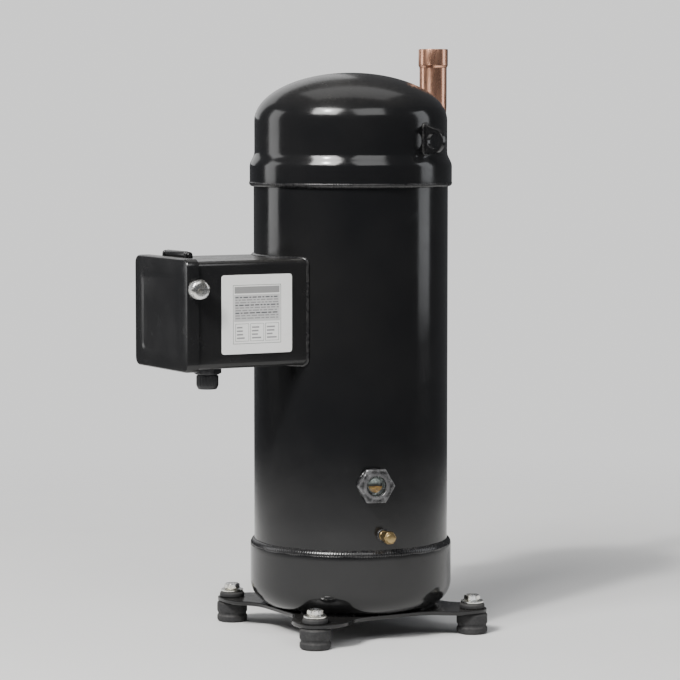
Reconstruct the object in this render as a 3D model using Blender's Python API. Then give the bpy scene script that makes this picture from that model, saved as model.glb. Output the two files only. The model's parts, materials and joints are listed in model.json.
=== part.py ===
"""Hermetic scroll compressor: a welded steel vessel with the motor, crankshaft and scroll set inside.

Everything is modelled about the crank axis. The vessel stands on four rubber grommets at height 0, the
terminal box points along -X, the discharge line leaves on the +X side and the suction fitting along +Y.
Lengths are in metres.
"""

import math

import bmesh
import bpy
from mathutils import Vector

MM = 0.001
WELD = 1e-6

# Clearances
GAP = 0.3 * MM  # between two pieces that touch
PRESS_GAP = 0.6 * MM  # between the shell's bore and what is pressed into it
RUN_GAP = 0.4 * MM  # radial, between a journal and its bush

# Vessel
SHELL_OD = 240 * MM
SHELL_WALL = 4.5 * MM
SHELL_LENGTH = 482 * MM
CAP_OVERLAP = 18 * MM
BOTTOM_CAP_HEIGHT = 76 * MM
BOTTOM_KNUCKLE = 30 * MM
TOP_SKIRT_LENGTH = 52 * MM
TOP_DOME_HEIGHT = 59 * MM
JOGGLE_HEIGHT = 10 * MM
SKIRT_INSET = 1 * MM
MUFFLER_THICK = 6 * MM

# Feet
FOOT_CLEARANCE = 16.8 * MM  # from the bottom cap to a foot's washer
PLATE_THICK = 5 * MM
FOOT_MARGIN = 19 * MM
PLATE_WAIST = 26 * MM
GROMMET_HEIGHT = 26 * MM
GROMMET_OD = 38 * MM
GROMMET_NECK_OD = 21.4 * MM
GROMMET_LIP_OD = 31 * MM
GROMMET_LIP_HEIGHT = 6.5 * MM
MOUNT_SLEEVE_OD = 12 * MM
MOUNT_WASHER_OD = 28 * MM
MOUNT_WASHER_THICK = 2.5 * MM
MOUNT_HEAD_FLATS = 17 * MM
MOUNT_HEAD_HEIGHT = 7 * MM

# Scroll set
SCROLL_PITCH = 22 * MM
WRAP_THICK = 4.6 * MM
WRAP_HEIGHT = 44 * MM
FLANK_GAP = 0.5 * MM
WRAP_START = 3.4  # involute angle of the wrap's inner end, in radians
TIP_GAP = 0.4 * MM
FIXED_PLATE_THICK = 28 * MM
FIXED_WALL_THICK = 12 * MM
FIXED_FLANGE_THICK = 18 * MM
SEAL_GROOVE_DEPTH = 14 * MM
SEAL_INNER_R = 34 * MM
SEAL_OUTER_R = 52 * MM
SEAL_GAP = 1 * MM
SEAL_TRAVEL = 0.8 * MM
PORT_R = 7 * MM
ORBIT_PLATE_THICK = 13.7 * MM
HUB_HEIGHT = 32 * MM
THRUST_PLATE_THICK = 3.4 * MM
OLDHAM_THICK = 10 * MM
OLDHAM_WIDTH = 14 * MM
OLDHAM_CLEARANCE = 5.2 * MM  # from the ring's furthest place to the housing's wall
KEY_LENGTH = 12 * MM
KEY_WIDTH = 12 * MM
KEY_HEIGHT = 9.5 * MM
SCROLL_BOLT_R = 4 * MM

# Crankshaft and bearings
PIN_R = 13 * MM
BUSH_WALL = 7 * MM
BEARING_WALL = 3 * MM
HUB_WALL = 8 * MM
JOURNAL_R = 22.7 * MM
JOURNAL_LENGTH = 48 * MM
SHAFT_R = 20.5 * MM
TAIL_R = 14.6 * MM
OIL_BORE_R = 4 * MM
OIL_BORE_LENGTH = 150 * MM
HOUSING_FLOOR = 28 * MM
HOUSING_RIM = 26 * MM
LOWER_HUB_HEIGHT = 28 * MM
LOWER_HUB_R = 32 * MM
BRACKET_THICK = 8 * MM
BRACKET_ARM_WIDTH = 36 * MM
SUMP_CLEARANCE = 16 * MM

# Motor
SLOTS = 18
SLOT_HALF_ANGLE = math.radians(5.5)
STATOR_BORE_R = 62.2 * MM
YOKE = 17 * MM
TOOTH_TIP = 7 * MM
END_TURN_HEIGHT = 40 * MM
END_TURN_SLOPE = 9 * MM
AIR_GAP = 0.6 * MM
END_RING_HEIGHT = 14 * MM
COUNTERWEIGHT_R = 57 * MM
COUNTERWEIGHT_UPPER = 30 * MM
COUNTERWEIGHT_LOWER = 16 * MM
TERMINAL_ZONE = 56 * MM  # free height between the upper end turns and the bearing housing

# Terminal box, whose depth runs outwards along -X from the shell
BOX_DEPTH = 134 * MM
BOX_WIDTH = 140 * MM
BOX_HEIGHT = 128 * MM
BOX_WALL = 2.5 * MM
BOX_CORNER = 7 * MM
BACK_PLATE_OFFSET = 7 * MM
COVER_THICK = 2.4 * MM
COVER_LIP = 13 * MM
COVER_LIP_GAP = 0.8 * MM
GASKET_THICK = 3 * MM
GASKET_WIDTH = 7 * MM
HINGE_PIN_R = 2 * MM
HINGE_RISE = 6 * MM
HINGE_INSET = 7 * MM
KNUCKLE_LENGTH = 52 * MM
EAR_THICK = 4 * MM
COVER_SCREW_R = 2.2 * MM
COVER_SCREW_RISE = 32 * MM  # above the middle of the box
COVER_SCREW_SETBACK = 4.8 * MM  # from the box's rim
COVER_KNOB_R = 12 * MM
COVER_KNOB_LENGTH = 13 * MM
TERMINAL_R = 25.7 * MM
TERMINAL_PIN_R = 3.2 * MM
TERMINAL_PIN_CIRCLE = 13 * MM
GLAND_BORE_R = 8 * MM
GLAND_THREAD_R = 11 * MM
GLAND_FROM_RIM = 42 * MM
GLAND_SIDE = -28 * MM
LABEL_SIZE = 94 * MM

# Fittings
DISCHARGE_ANGLE = math.radians(24)
DISCHARGE_RISE = 6 * MM
LINE_R = 17.5 * MM
LINE_WALL = 1.5 * MM
DISCHARGE_STUB_WALL = 3.2 * MM
BEND_R = 38 * MM
RISER_STANDOFF = 56 * MM
RISER_ABOVE_DOME = 32 * MM
SOCKET_LENGTH = 24 * MM
SUCTION_R = 25 * MM
SUCTION_BORE_R = 20.8 * MM
SUCTION_STUB_LENGTH = 30 * MM
SIGHT_GLASS_RISE = 86 * MM
SIGHT_GLASS_ANGLE = math.radians(-106)
SIGHT_GLASS_R = 16.7 * MM
OIL_VALVE_RISE = 24 * MM
OIL_VALVE_ANGLE = math.radians(-100)
OIL_VALVE_R = 6 * MM
OIL_VALVE_LENGTH = 28 * MM
LUG_ANGLE = math.radians(110)
LUG_LENGTH = 28 * MM
LUG_THICK = 6 * MM
LUG_HOLE_R = 9 * MM

# Facets
VESSEL_STEPS = 36
INNER_STEPS = 28
ROUND_STEPS = 24
FOOT_STEPS = 12
SMALL_STEPS = 12
TUBE_STEPS = 14
DOME_STEPS = 6
KNUCKLE_STEPS = 4
WRAP_SAGITTA = 0.3 * MM

# Worked out from the sizes above: radii
SHELL_R = SHELL_OD / 2
SHELL_BORE_R = SHELL_R - SHELL_WALL
CAP_BORE_R = SHELL_R + GAP
CAP_R = CAP_BORE_R + SHELL_WALL
SKIRT_R = SHELL_R - SKIRT_INSET
PRESS_R = SHELL_BORE_R - PRESS_GAP
FOOT_SPACING = math.sqrt(2) * (CAP_R + FOOT_CLEARANCE + MOUNT_WASHER_OD / 2)
BOX_REACH = SHELL_R + BOX_DEPTH
RISER_REACH = SHELL_R + RISER_STANDOFF
SUCTION_REACH = SHELL_R + SUCTION_STUB_LENGTH
LUG_REACH = SHELL_R + LUG_LENGTH
VALVE_CAP_REACH = SHELL_R + OIL_VALVE_LENGTH
INVOLUTE_BASE = SCROLL_PITCH / (2 * math.pi)
ORBIT_RADIUS = SCROLL_PITCH / 2 - WRAP_THICK - FLANK_GAP
POST_BORE_R = PRESS_R - HOUSING_RIM
ORBIT_PLATE_R = POST_BORE_R - ORBIT_RADIUS - 2 * MM
WRAP_OUTER_R = ORBIT_PLATE_R - 3 * MM
BUSH_BORE_R = PIN_R + GAP
BUSH_R = BUSH_BORE_R + BUSH_WALL
DRIVE_BEARING_BORE_R = BUSH_R + RUN_GAP
DRIVE_BEARING_R = DRIVE_BEARING_BORE_R + BEARING_WALL
HUB_BORE_R = DRIVE_BEARING_R + GAP
HUB_R = HUB_BORE_R + HUB_WALL
HUB_CAVITY_R = HUB_R + ORBIT_RADIUS + 2 * MM
OLDHAM_R = POST_BORE_R - ORBIT_RADIUS - OLDHAM_CLEARANCE
OLDHAM_INNER_R = OLDHAM_R - OLDHAM_WIDTH
THRUST_R = OLDHAM_INNER_R - ORBIT_RADIUS - 1 * MM
MAIN_BUSH_BORE_R = JOURNAL_R + RUN_GAP
MAIN_BUSH_R = MAIN_BUSH_BORE_R + BEARING_WALL
TAIL_BUSH_BORE_R = TAIL_R + RUN_GAP
TAIL_BUSH_R = TAIL_BUSH_BORE_R + BEARING_WALL
SLOT_R = PRESS_R - YOKE
ROTOR_R = STATOR_BORE_R - AIR_GAP
ROTOR_BORE_R = SHAFT_R + GAP
WRAP_HALF_ANGLE = WRAP_THICK / (2 * INVOLUTE_BASE)
WRAP_END = math.sqrt((WRAP_OUTER_R / INVOLUTE_BASE) ** 2 - 1) - WRAP_HALF_ANGLE

# Worked out from the sizes above: heights
PLATE_Z = GROMMET_HEIGHT + GAP
BOTTOM_CAP_Z = PLATE_Z + PLATE_THICK + GAP
BOTTOM_RIM_Z = BOTTOM_CAP_Z + BOTTOM_CAP_HEIGHT
SHELL_Z = BOTTOM_RIM_Z - CAP_OVERLAP
SHELL_TOP_Z = SHELL_Z + SHELL_LENGTH
MUFFLER_Z = SHELL_TOP_Z + GAP
JOGGLE_Z = MUFFLER_Z + MUFFLER_THICK + GAP
TANGENT_Z = JOGGLE_Z + TOP_SKIRT_LENGTH
DOME_Z = TANGENT_Z + TOP_DOME_HEIGHT
SEAL_TOP_Z = MUFFLER_Z - GAP - SEAL_TRAVEL
FIXED_TOP_Z = SEAL_TOP_Z - 13 * MM
FIXED_FACE_Z = FIXED_TOP_Z - FIXED_PLATE_THICK
FIXED_TIP_Z = FIXED_FACE_Z - WRAP_HEIGHT
ORBIT_FACE_Z = FIXED_TIP_Z - TIP_GAP
ORBIT_BACK_Z = ORBIT_FACE_Z - ORBIT_PLATE_THICK
THRUST_Z = ORBIT_BACK_Z - GAP - THRUST_PLATE_THICK - GAP
OLDHAM_TOP_Z = THRUST_Z
OLDHAM_Z = OLDHAM_TOP_Z - OLDHAM_THICK
POCKET_Z = OLDHAM_Z - GAP
HUB_TIP_Z = ORBIT_BACK_Z - HUB_HEIGHT
JOURNAL_TOP_Z = HUB_TIP_Z - 3 * MM
HOUSING_Z = POCKET_Z - HOUSING_FLOOR
JOURNAL_Z = JOURNAL_TOP_Z - JOURNAL_LENGTH
TERMINAL_Z = HOUSING_Z - TERMINAL_ZONE / 2
END_TURN_TOP_Z = HOUSING_Z - TERMINAL_ZONE
STATOR_TOP_Z = END_TURN_TOP_Z - END_TURN_HEIGHT
TAIL_Z = BOTTOM_CAP_Z + SHELL_WALL + SUMP_CLEARANCE
LOWER_HUB_Z = BOTTOM_RIM_Z + 16 * MM
END_TURN_Z = LOWER_HUB_Z + LOWER_HUB_HEIGHT + 20 * MM
STATOR_Z = END_TURN_Z + END_TURN_HEIGHT
DISCHARGE_Z = JOGGLE_Z + JOGGLE_HEIGHT + LINE_R + DISCHARGE_RISE
RISER_TOP_Z = DOME_Z + RISER_ABOVE_DOME
SIGHT_GLASS_Z = BOTTOM_RIM_Z + SIGHT_GLASS_RISE
OIL_VALVE_Z = BOTTOM_RIM_Z + OIL_VALVE_RISE
BOX_Z = TERMINAL_Z - BOX_HEIGHT / 2
BOX_TOP_Z = BOX_Z + BOX_HEIGHT

# Worked out from the sizes above: depths along -X in the terminal box
BACK_PLATE_X = SHELL_R + BACK_PLATE_OFFSET
COVER_X = BOX_REACH + GAP + GASKET_THICK + GAP
COVER_FACE_X = COVER_X + COVER_THICK
COVER_LIP_X = COVER_FACE_X - COVER_LIP - COVER_THICK
HINGE_X = COVER_LIP_X - HINGE_INSET
HINGE_Z = BOX_TOP_Z + HINGE_RISE
COVER_SCREW_X = BOX_REACH - COVER_SCREW_SETBACK
COVER_SCREW_Z = TERMINAL_Z + COVER_SCREW_RISE

# The origin is the middle of the footprint's box, and the crank axis stands beside it
RISER_X = RISER_REACH * math.cos(DISCHARGE_ANGLE)
RISER_Y = RISER_REACH * math.sin(DISCHARGE_ANGLE)
SOCKET_R = LINE_R + LINE_WALL + GAP
AXIS_X = (COVER_SCREW_X + COVER_KNOB_R - RISER_X - SOCKET_R) / 2
AXIS_Y = (VALVE_CAP_REACH * abs(math.sin(OIL_VALVE_ANGLE)) - SUCTION_REACH) / 2


# ---------------------------------------------------------------------------------------------- helpers


def clear_scene():
    for obj in list(bpy.data.objects):
        bpy.data.objects.remove(obj, do_unlink=True)


def make_material(name, colour, roughness, metallic=0.0):
    material = bpy.data.materials.new(name)
    material.use_nodes = True
    shader = material.node_tree.nodes["Principled BSDF"]
    shader.inputs["Base Color"].default_value = (*colour, 1.0)
    shader.inputs["Roughness"].default_value = roughness
    shader.inputs["Metallic"].default_value = metallic
    return material


def make_empty(name, location, parent=None):
    empty = bpy.data.objects.new(name, None)
    bpy.context.scene.collection.objects.link(empty)
    empty.location = location
    empty.parent = parent
    return empty


def finish_object(name, bm, material, parent):
    """Turns bm into an object with smooth round faces and sharp edges."""
    bmesh.ops.remove_doubles(bm, verts=bm.verts, dist=WELD)
    bmesh.ops.recalc_face_normals(bm, faces=bm.faces)
    mesh = bpy.data.meshes.new(name)
    bm.to_mesh(mesh)
    bm.free()
    obj = bpy.data.objects.new(name, mesh)
    bpy.context.scene.collection.objects.link(obj)
    if material:
        mesh.materials.append(material)
    mesh.shade_smooth()
    mesh.set_sharp_from_angle(angle=math.radians(35))
    obj.parent = parent
    return obj


def hide_cutter(obj):
    obj.hide_render = True
    obj.display_type = "WIRE"
    return obj


def boolean(target, other, operation="DIFFERENCE"):
    """Leaves a Boolean modifier on target. other becomes a hidden helper."""
    modifier = target.modifiers.new(other.name, "BOOLEAN")
    modifier.operation = operation
    modifier.solver = "EXACT"
    modifier.object = hide_cutter(other)


def spin_profile(bm, profile, steps):
    """Turns an outline of (radius, height) points about Z. An outline that ends on the axis stays open."""
    verts = [bm.verts.new((r, 0.0, z)) for r, z in profile]
    pairs = list(zip(verts, verts[1:]))
    if profile[0][0] > 0 or profile[-1][0] > 0:
        pairs.append((verts[-1], verts[0]))
    edges = [bm.edges.new(pair) for pair in pairs]
    bmesh.ops.spin(
        bm,
        geom=verts + edges,
        cent=(0, 0, 0),
        axis=(0, 0, 1),
        angle=2 * math.pi,
        steps=steps,
        use_merge=True,
        use_duplicate=False,
    )


def extrude_faces(bm, faces, height):
    made = bmesh.ops.extrude_face_region(bm, geom=faces)
    moved = [item for item in made["geom"] if isinstance(item, bmesh.types.BMVert)]
    bmesh.ops.translate(bm, verts=moved, vec=(0, 0, height))


def extrude_outline(bm, outline, low, high):
    """Adds a prism on a closed outline of (x, y) points, from height low to height high."""
    face = bm.faces.new([bm.verts.new((x, y, low)) for x, y in outline])
    extrude_faces(bm, [face], high - low)


def turned(name, profile, material, parent, steps=VESSEL_STEPS):
    bm = bmesh.new()
    spin_profile(bm, profile, steps)
    return finish_object(name, bm, material, parent)


def prism(name, outline, low, high, material, parent):
    bm = bmesh.new()
    extrude_outline(bm, outline, low, high)
    return finish_object(name, bm, material, parent)


def circle(radius, steps, centre=(0.0, 0.0), start=0.0):
    angles = [start + 2 * math.pi * i / steps for i in range(steps)]
    return [(centre[0] + radius * math.cos(a), centre[1] + radius * math.sin(a)) for a in angles]


def hexagon(flats):
    return circle(flats / math.sqrt(3), 6)


def arc(radius, first, last, steps, centre=(0.0, 0.0)):
    """Points on an arc from angle first to angle last, both ends included."""
    angles = [first + (last - first) * i / steps for i in range(steps + 1)]
    return [(centre[0] + radius * math.cos(a), centre[1] + radius * math.sin(a)) for a in angles]


def rounded_box(width_x, width_y, corner):
    """The outline of a rectangle about the origin with round corners."""
    outline = []
    for quarter, (sx, sy) in enumerate(((1, 1), (-1, 1), (-1, -1), (1, -1))):
        centre = (sx * (width_x / 2 - corner), sy * (width_y / 2 - corner))
        first = quarter * math.pi / 2
        outline += arc(corner, first, first + math.pi / 2, 3, centre)
    return outline


def block(name, low, high, material, parent):
    """A box between two corners."""
    outline = [(low[0], low[1]), (high[0], low[1]), (high[0], high[1]), (low[0], high[1])]
    return prism(name, outline, low[2], high[2], material, parent)


def rods(name, places, radius, low, high, material, parent, steps=SMALL_STEPS):
    """Upright cylinders at several (x, y) places, in one object."""
    bm = bmesh.new()
    for place in places:
        extrude_outline(bm, circle(radius, steps, place), low, high)
    return finish_object(name, bm, material, parent)


def point_out(obj, angle, height):
    """Lays an object's local Z along the radius at that angle, starting on the crank axis."""
    obj.location = (0, 0, height)
    obj.rotation_euler = (0, math.pi / 2, angle)
    return obj


def ellipse(radius, rise, base, steps):
    """A dome's outline from its edge at (radius, base) to its top on the axis."""
    angles = [math.pi / 2 * i / steps for i in range(steps + 1)]
    points = [(radius * math.cos(a), base + rise * math.sin(a)) for a in angles]
    return points[:-1] + [(0.0, base + rise)]


def polar_cells(bm, angles, radii, heights, filled, shape):
    """Adds the outside faces of the filled cells of a polar grid that closes on itself.

    filled(a, r, h) says whether a cell is solid, and shape(radius, height) may move a corner's height.
    """
    count = len(angles)

    def corner(a, r, h):
        radius = radii[r]
        height = shape(radius, heights[h])
        return (radius * math.cos(angles[a % count]), radius * math.sin(angles[a % count]), height)

    def solid(a, r, h):
        inside = 0 <= r < len(radii) - 1 and 0 <= h < len(heights) - 1
        return inside and filled(a % count, r, h)

    sides = (
        ((1, 0, 0), ((1, 0, 0), (1, 1, 0), (1, 1, 1), (1, 0, 1))),
        ((-1, 0, 0), ((0, 0, 0), (0, 1, 0), (0, 1, 1), (0, 0, 1))),
        ((0, 1, 0), ((0, 1, 0), (1, 1, 0), (1, 1, 1), (0, 1, 1))),
        ((0, -1, 0), ((0, 0, 0), (1, 0, 0), (1, 0, 1), (0, 0, 1))),
        ((0, 0, 1), ((0, 0, 1), (1, 0, 1), (1, 1, 1), (0, 1, 1))),
        ((0, 0, -1), ((0, 0, 0), (1, 0, 0), (1, 1, 0), (0, 1, 0))),
    )
    for a in range(count):
        for r in range(len(radii) - 1):
            for h in range(len(heights) - 1):
                if not solid(a, r, h):
                    continue
                for (da, dr, dh), corners in sides:
                    if not solid(a + da, r + dr, h + dh):
                        points = [corner(a + i, r + j, h + k) for i, j, k in corners]
                        bm.faces.new([bm.verts.new(p) for p in points])


# ------------------------------------------------------------------------------------------ materials


def make_materials():
    return {
        "shell_paint": make_material("shell_paint", (0.012, 0.012, 0.014), 0.28),
        "zinc_steel": make_material("zinc_steel", (0.55, 0.56, 0.56), 0.35, 0.9),
        "copper": make_material("copper", (0.72, 0.36, 0.22), 0.3, 1.0),
        "brass": make_material("brass", (0.74, 0.58, 0.28), 0.35, 1.0),
        "rubber": make_material("rubber", (0.02, 0.02, 0.02), 0.8),
        "black_plastic": make_material("black_plastic", (0.02, 0.02, 0.022), 0.45),
        "glass": make_material("glass", (0.75, 0.82, 0.78), 0.05),
        "label": make_material("label", (0.86, 0.86, 0.84), 0.5),
        "cast_iron": make_material("cast_iron", (0.3, 0.3, 0.31), 0.5, 0.8),
        "forged_steel": make_material("forged_steel", (0.42, 0.42, 0.43), 0.3, 1.0),
        "laminations": make_material("laminations", (0.33, 0.34, 0.36), 0.45, 0.8),
        "winding_wire": make_material("winding_wire", (0.6, 0.27, 0.12), 0.4, 0.7),
        "bearing_bronze": make_material("bearing_bronze", (0.55, 0.42, 0.24), 0.4, 0.9),
        "ptfe": make_material("ptfe", (0.16, 0.15, 0.14), 0.5),
    }


# -------------------------------------------------------------------------------------------- vessel


def make_mounting_plate(paint, root):
    half = FOOT_SPACING / 2
    edge = half + FOOT_MARGIN
    waist = edge - PLATE_WAIST
    neck = half - 1.7 * FOOT_MARGIN
    outline = []
    for quarter in range(4):
        turn = quarter * math.pi / 2
        foot = arc(FOOT_MARGIN, 0, math.pi / 2, 4, (half, half))
        side = [(edge, neck), *foot, (neck, edge), (neck - PLATE_WAIST, waist)]
        side = [(waist, neck - PLATE_WAIST), *side]
        c, s = math.cos(turn), math.sin(turn)
        outline += [(x * c - y * s, x * s + y * c) for x, y in side]
    plate = prism("mounting_plate", outline, PLATE_Z, PLATE_Z + PLATE_THICK, paint, root)
    hole_r = GROMMET_NECK_OD / 2 + GAP
    holes = rods("foot_holes", foot_places(), hole_r, 0, SHELL_Z, None, root, SMALL_STEPS + 4)
    boolean(plate, holes)


def foot_places():
    half = FOOT_SPACING / 2
    return [(-half, -half), (half, -half), (half, half), (-half, half)]


def make_bottom_cap(paint, root):
    inner_knuckle = BOTTOM_KNUCKLE - SHELL_WALL
    low = BOTTOM_CAP_Z
    centre = (CAP_R - BOTTOM_KNUCKLE, low + BOTTOM_KNUCKLE)
    outer = arc(BOTTOM_KNUCKLE, -math.pi / 2, 0, KNUCKLE_STEPS, centre)
    inner = arc(inner_knuckle, 0, -math.pi / 2, KNUCKLE_STEPS, centre)
    profile = [(0, low), *outer, (CAP_R, BOTTOM_RIM_Z), (CAP_BORE_R, BOTTOM_RIM_Z)]
    profile += [*inner, (0, low + SHELL_WALL)]
    turned("bottom_cap", profile, paint, root)


def make_centre_shell(paint, root):
    profile = [
        (SHELL_BORE_R, SHELL_Z),
        (SHELL_R, SHELL_Z),
        (SHELL_R, SHELL_TOP_Z),
        (SHELL_BORE_R, SHELL_TOP_Z),
    ]
    shell = turned("centre_shell", profile, paint, root)
    ports = (
        ("terminal_hole", TERMINAL_R, math.pi, TERMINAL_Z),
        ("suction_hole", SUCTION_R, math.pi / 2, TERMINAL_Z),
        ("sight_glass_hole", SIGHT_GLASS_R, SIGHT_GLASS_ANGLE, SIGHT_GLASS_Z),
        ("oil_valve_hole", OIL_VALVE_R, OIL_VALVE_ANGLE, OIL_VALVE_Z),
    )
    for name, radius, angle, height in ports:
        hole = rods(name, [(0, 0)], radius + GAP, SHELL_R / 2, CAP_R, None, root, 24)
        boolean(shell, point_out(hole, angle, height))


def make_top_cap(paint, root):
    bore = SKIRT_R - SHELL_WALL
    outside = [(CAP_R, SHELL_TOP_Z - CAP_OVERLAP), (CAP_R, JOGGLE_Z)]
    dome = ellipse(SKIRT_R, TOP_DOME_HEIGHT, TANGENT_Z, DOME_STEPS)
    outside += [(SKIRT_R, JOGGLE_Z + JOGGLE_HEIGHT), *dome]
    inside = ellipse(bore, TOP_DOME_HEIGHT - SHELL_WALL, TANGENT_Z, DOME_STEPS - 2)[::-1]
    inside += [(bore, JOGGLE_Z + JOGGLE_HEIGHT), (CAP_BORE_R, JOGGLE_Z)]
    inside += [(CAP_BORE_R, SHELL_TOP_Z - CAP_OVERLAP)]
    # The outline starts at the outer top, so that it runs from axis to axis
    profile = outside[::-1] + inside[::-1]
    cap = turned("top_cap", profile, paint, root)
    stub_r = LINE_R + GAP + DISCHARGE_STUB_WALL
    hole = rods("discharge_hole", [(0, 0)], stub_r + GAP, SHELL_R / 2, CAP_R, None, root, 24)
    boolean(cap, point_out(hole, DISCHARGE_ANGLE, DISCHARGE_Z))


def make_muffler_plate(steel, root):
    rim = CAP_BORE_R - PRESS_GAP
    top = MUFFLER_Z + MUFFLER_THICK
    profile = [(14 * MM, MUFFLER_Z), (rim, MUFFLER_Z), (rim, top), (14 * MM, top)]
    turned("muffler_plate", profile, steel, root, INNER_STEPS)


def make_lifting_lugs(paint, root):
    """Two upright tabs on the top cap's skirt, each with an eye across it."""
    inner = SKIRT_R + GAP
    eye = LUG_REACH - 15 * MM
    low = JOGGLE_Z + JOGGLE_HEIGHT + 2 * MM
    middle = low + 16 * MM
    tip = arc(15 * MM, -math.pi / 2, math.pi / 2, 8, (eye, middle))
    outline = [(inner, low), *tip, (inner, middle + 20 * MM)]
    for number, angle in ((1, LUG_ANGLE), (2, LUG_ANGLE + math.pi)):
        lug = prism(f"lifting_lug_{number}", outline, -LUG_THICK / 2, LUG_THICK / 2, paint, root)
        hole = rods(
            f"lug_eye_{number}", [(eye, middle)], LUG_HOLE_R, -LUG_THICK, LUG_THICK, None, root, 20
        )
        for obj in (lug, hole):
            obj.rotation_euler = (math.pi / 2, 0, angle)
        boolean(lug, hole)


# ---------------------------------------------------------------------------------------------- feet


def make_mounting_hardware(rubber, zinc, root):
    """A rubber grommet at each foot, held by a screw whose sleeve and washer are one piece with it."""
    bore = MOUNT_SLEEVE_OD / 2 + GAP
    groove_top = PLATE_Z + PLATE_THICK + GAP
    lip_top = groove_top + GROMMET_LIP_HEIGHT
    grommet = [
        (bore, 0),
        (GROMMET_OD / 2, 0),
        (GROMMET_OD / 2, GROMMET_HEIGHT),
        (GROMMET_NECK_OD / 2, GROMMET_HEIGHT),
        (GROMMET_NECK_OD / 2, groove_top),
        (GROMMET_LIP_OD / 2, groove_top),
        (GROMMET_LIP_OD / 2, lip_top),
        (bore, lip_top),
    ]
    washer_z = lip_top + GAP
    head_z = washer_z + MOUNT_WASHER_THICK
    screw = [
        (0, 1 * MM),
        (MOUNT_SLEEVE_OD / 2, 1 * MM),
        (MOUNT_SLEEVE_OD / 2, washer_z),
        (MOUNT_WASHER_OD / 2, washer_z),
        (MOUNT_WASHER_OD / 2, head_z),
        (0, head_z),
    ]
    head = hexagon(MOUNT_HEAD_FLATS)
    for number, (x, y) in enumerate(foot_places(), 1):
        rubber_foot = turned(f"grommet_{number}", grommet, rubber, root, FOOT_STEPS)
        bolt = turned(f"mount_bolt_{number}", screw, zinc, root, FOOT_STEPS)
        top = prism(
            f"mount_bolt_head_{number}", head, head_z - 1 * MM, head_z + MOUNT_HEAD_HEIGHT, None, root
        )
        for obj in (rubber_foot, bolt, top):
            obj.location = (x, y, 0)
        boolean(bolt, top, "UNION")


# ------------------------------------------------------------------------------------------ fittings


def sweep_tube(name, path, outer_radii, inner_radii, material, parent, steps=TUBE_STEPS):
    """A hollow tube along a path in the XZ plane, with an outer and an inner radius at each point."""
    bm = bmesh.new()
    walls = []
    for radii in (outer_radii, inner_radii):
        rings = []
        for i, (x, z) in enumerate(path):
            before, after = path[max(i - 1, 0)], path[min(i + 1, len(path) - 1)]
            along = Vector((after[0] - before[0], 0, after[1] - before[1])).normalized()
            side = Vector((0, 1, 0))
            across = side.cross(along)
            centre = Vector((x, 0, z))
            ring = []
            for a, b in circle(radii[i], steps):
                ring.append(bm.verts.new(centre + side * a + across * b))
            rings.append(ring)
        walls.append(rings)
    outer, inner = walls

    def join(first, second):
        for i in range(steps):
            j = (i + 1) % steps
            bm.faces.new((first[i], first[j], second[j], second[i]))

    for rings in walls:
        for first, second in zip(rings, rings[1:]):
            join(first, second)
    join(outer[0], inner[0])
    join(outer[-1], inner[-1])
    return finish_object(name, bm, material, parent)


def make_discharge_line(copper, root):
    """The plated stub in the top cap, and the copper bend and riser brazed into it."""
    bore = LINE_R + GAP
    stub_r = bore + DISCHARGE_STUB_WALL
    seat = SHELL_R + 1 * MM
    stub = [
        (bore - 4 * MM, SKIRT_R - SHELL_WALL - 6 * MM),
        (stub_r, SKIRT_R - SHELL_WALL - 6 * MM),
        (stub_r, seat + 14 * MM),
        (bore, seat + 14 * MM),
        (bore, seat),
        (bore - 4 * MM, seat),
    ]
    fitting = turned("discharge_fitting", stub, copper, root, ROUND_STEPS)
    point_out(fitting, DISCHARGE_ANGLE, DISCHARGE_Z)

    bend_x = RISER_REACH - BEND_R
    bend = arc(BEND_R, -math.pi / 2, 0, 6, (bend_x, DISCHARGE_Z + BEND_R))
    swage_z = RISER_TOP_Z - SOCKET_LENGTH
    path = [(seat + GAP, DISCHARGE_Z), *bend, (RISER_REACH, swage_z)]
    path += [(RISER_REACH, swage_z + 3 * MM), (RISER_REACH, RISER_TOP_Z)]
    outer = [LINE_R] * (len(path) - 2) + [SOCKET_R] * 2
    inner = [LINE_R - LINE_WALL] * (len(path) - 2) + [LINE_R + GAP] * 2
    line = sweep_tube("discharge_line", path, outer, inner, copper, root)
    line.rotation_euler = (0, 0, DISCHARGE_ANGLE)


def make_suction_fitting(copper, root):
    inner_end = SHELL_BORE_R - 6 * MM
    stop = SHELL_R + 6 * MM
    profile = [
        (SUCTION_BORE_R - 3 * MM, inner_end),
        (SUCTION_R, inner_end),
        (SUCTION_R, SUCTION_REACH),
        (SUCTION_BORE_R, SUCTION_REACH),
        (SUCTION_BORE_R, stop),
        (SUCTION_BORE_R - 3 * MM, stop),
    ]
    fitting = turned("suction_fitting", profile, copper, root, ROUND_STEPS)
    point_out(fitting, math.pi / 2, TERMINAL_Z)


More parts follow.
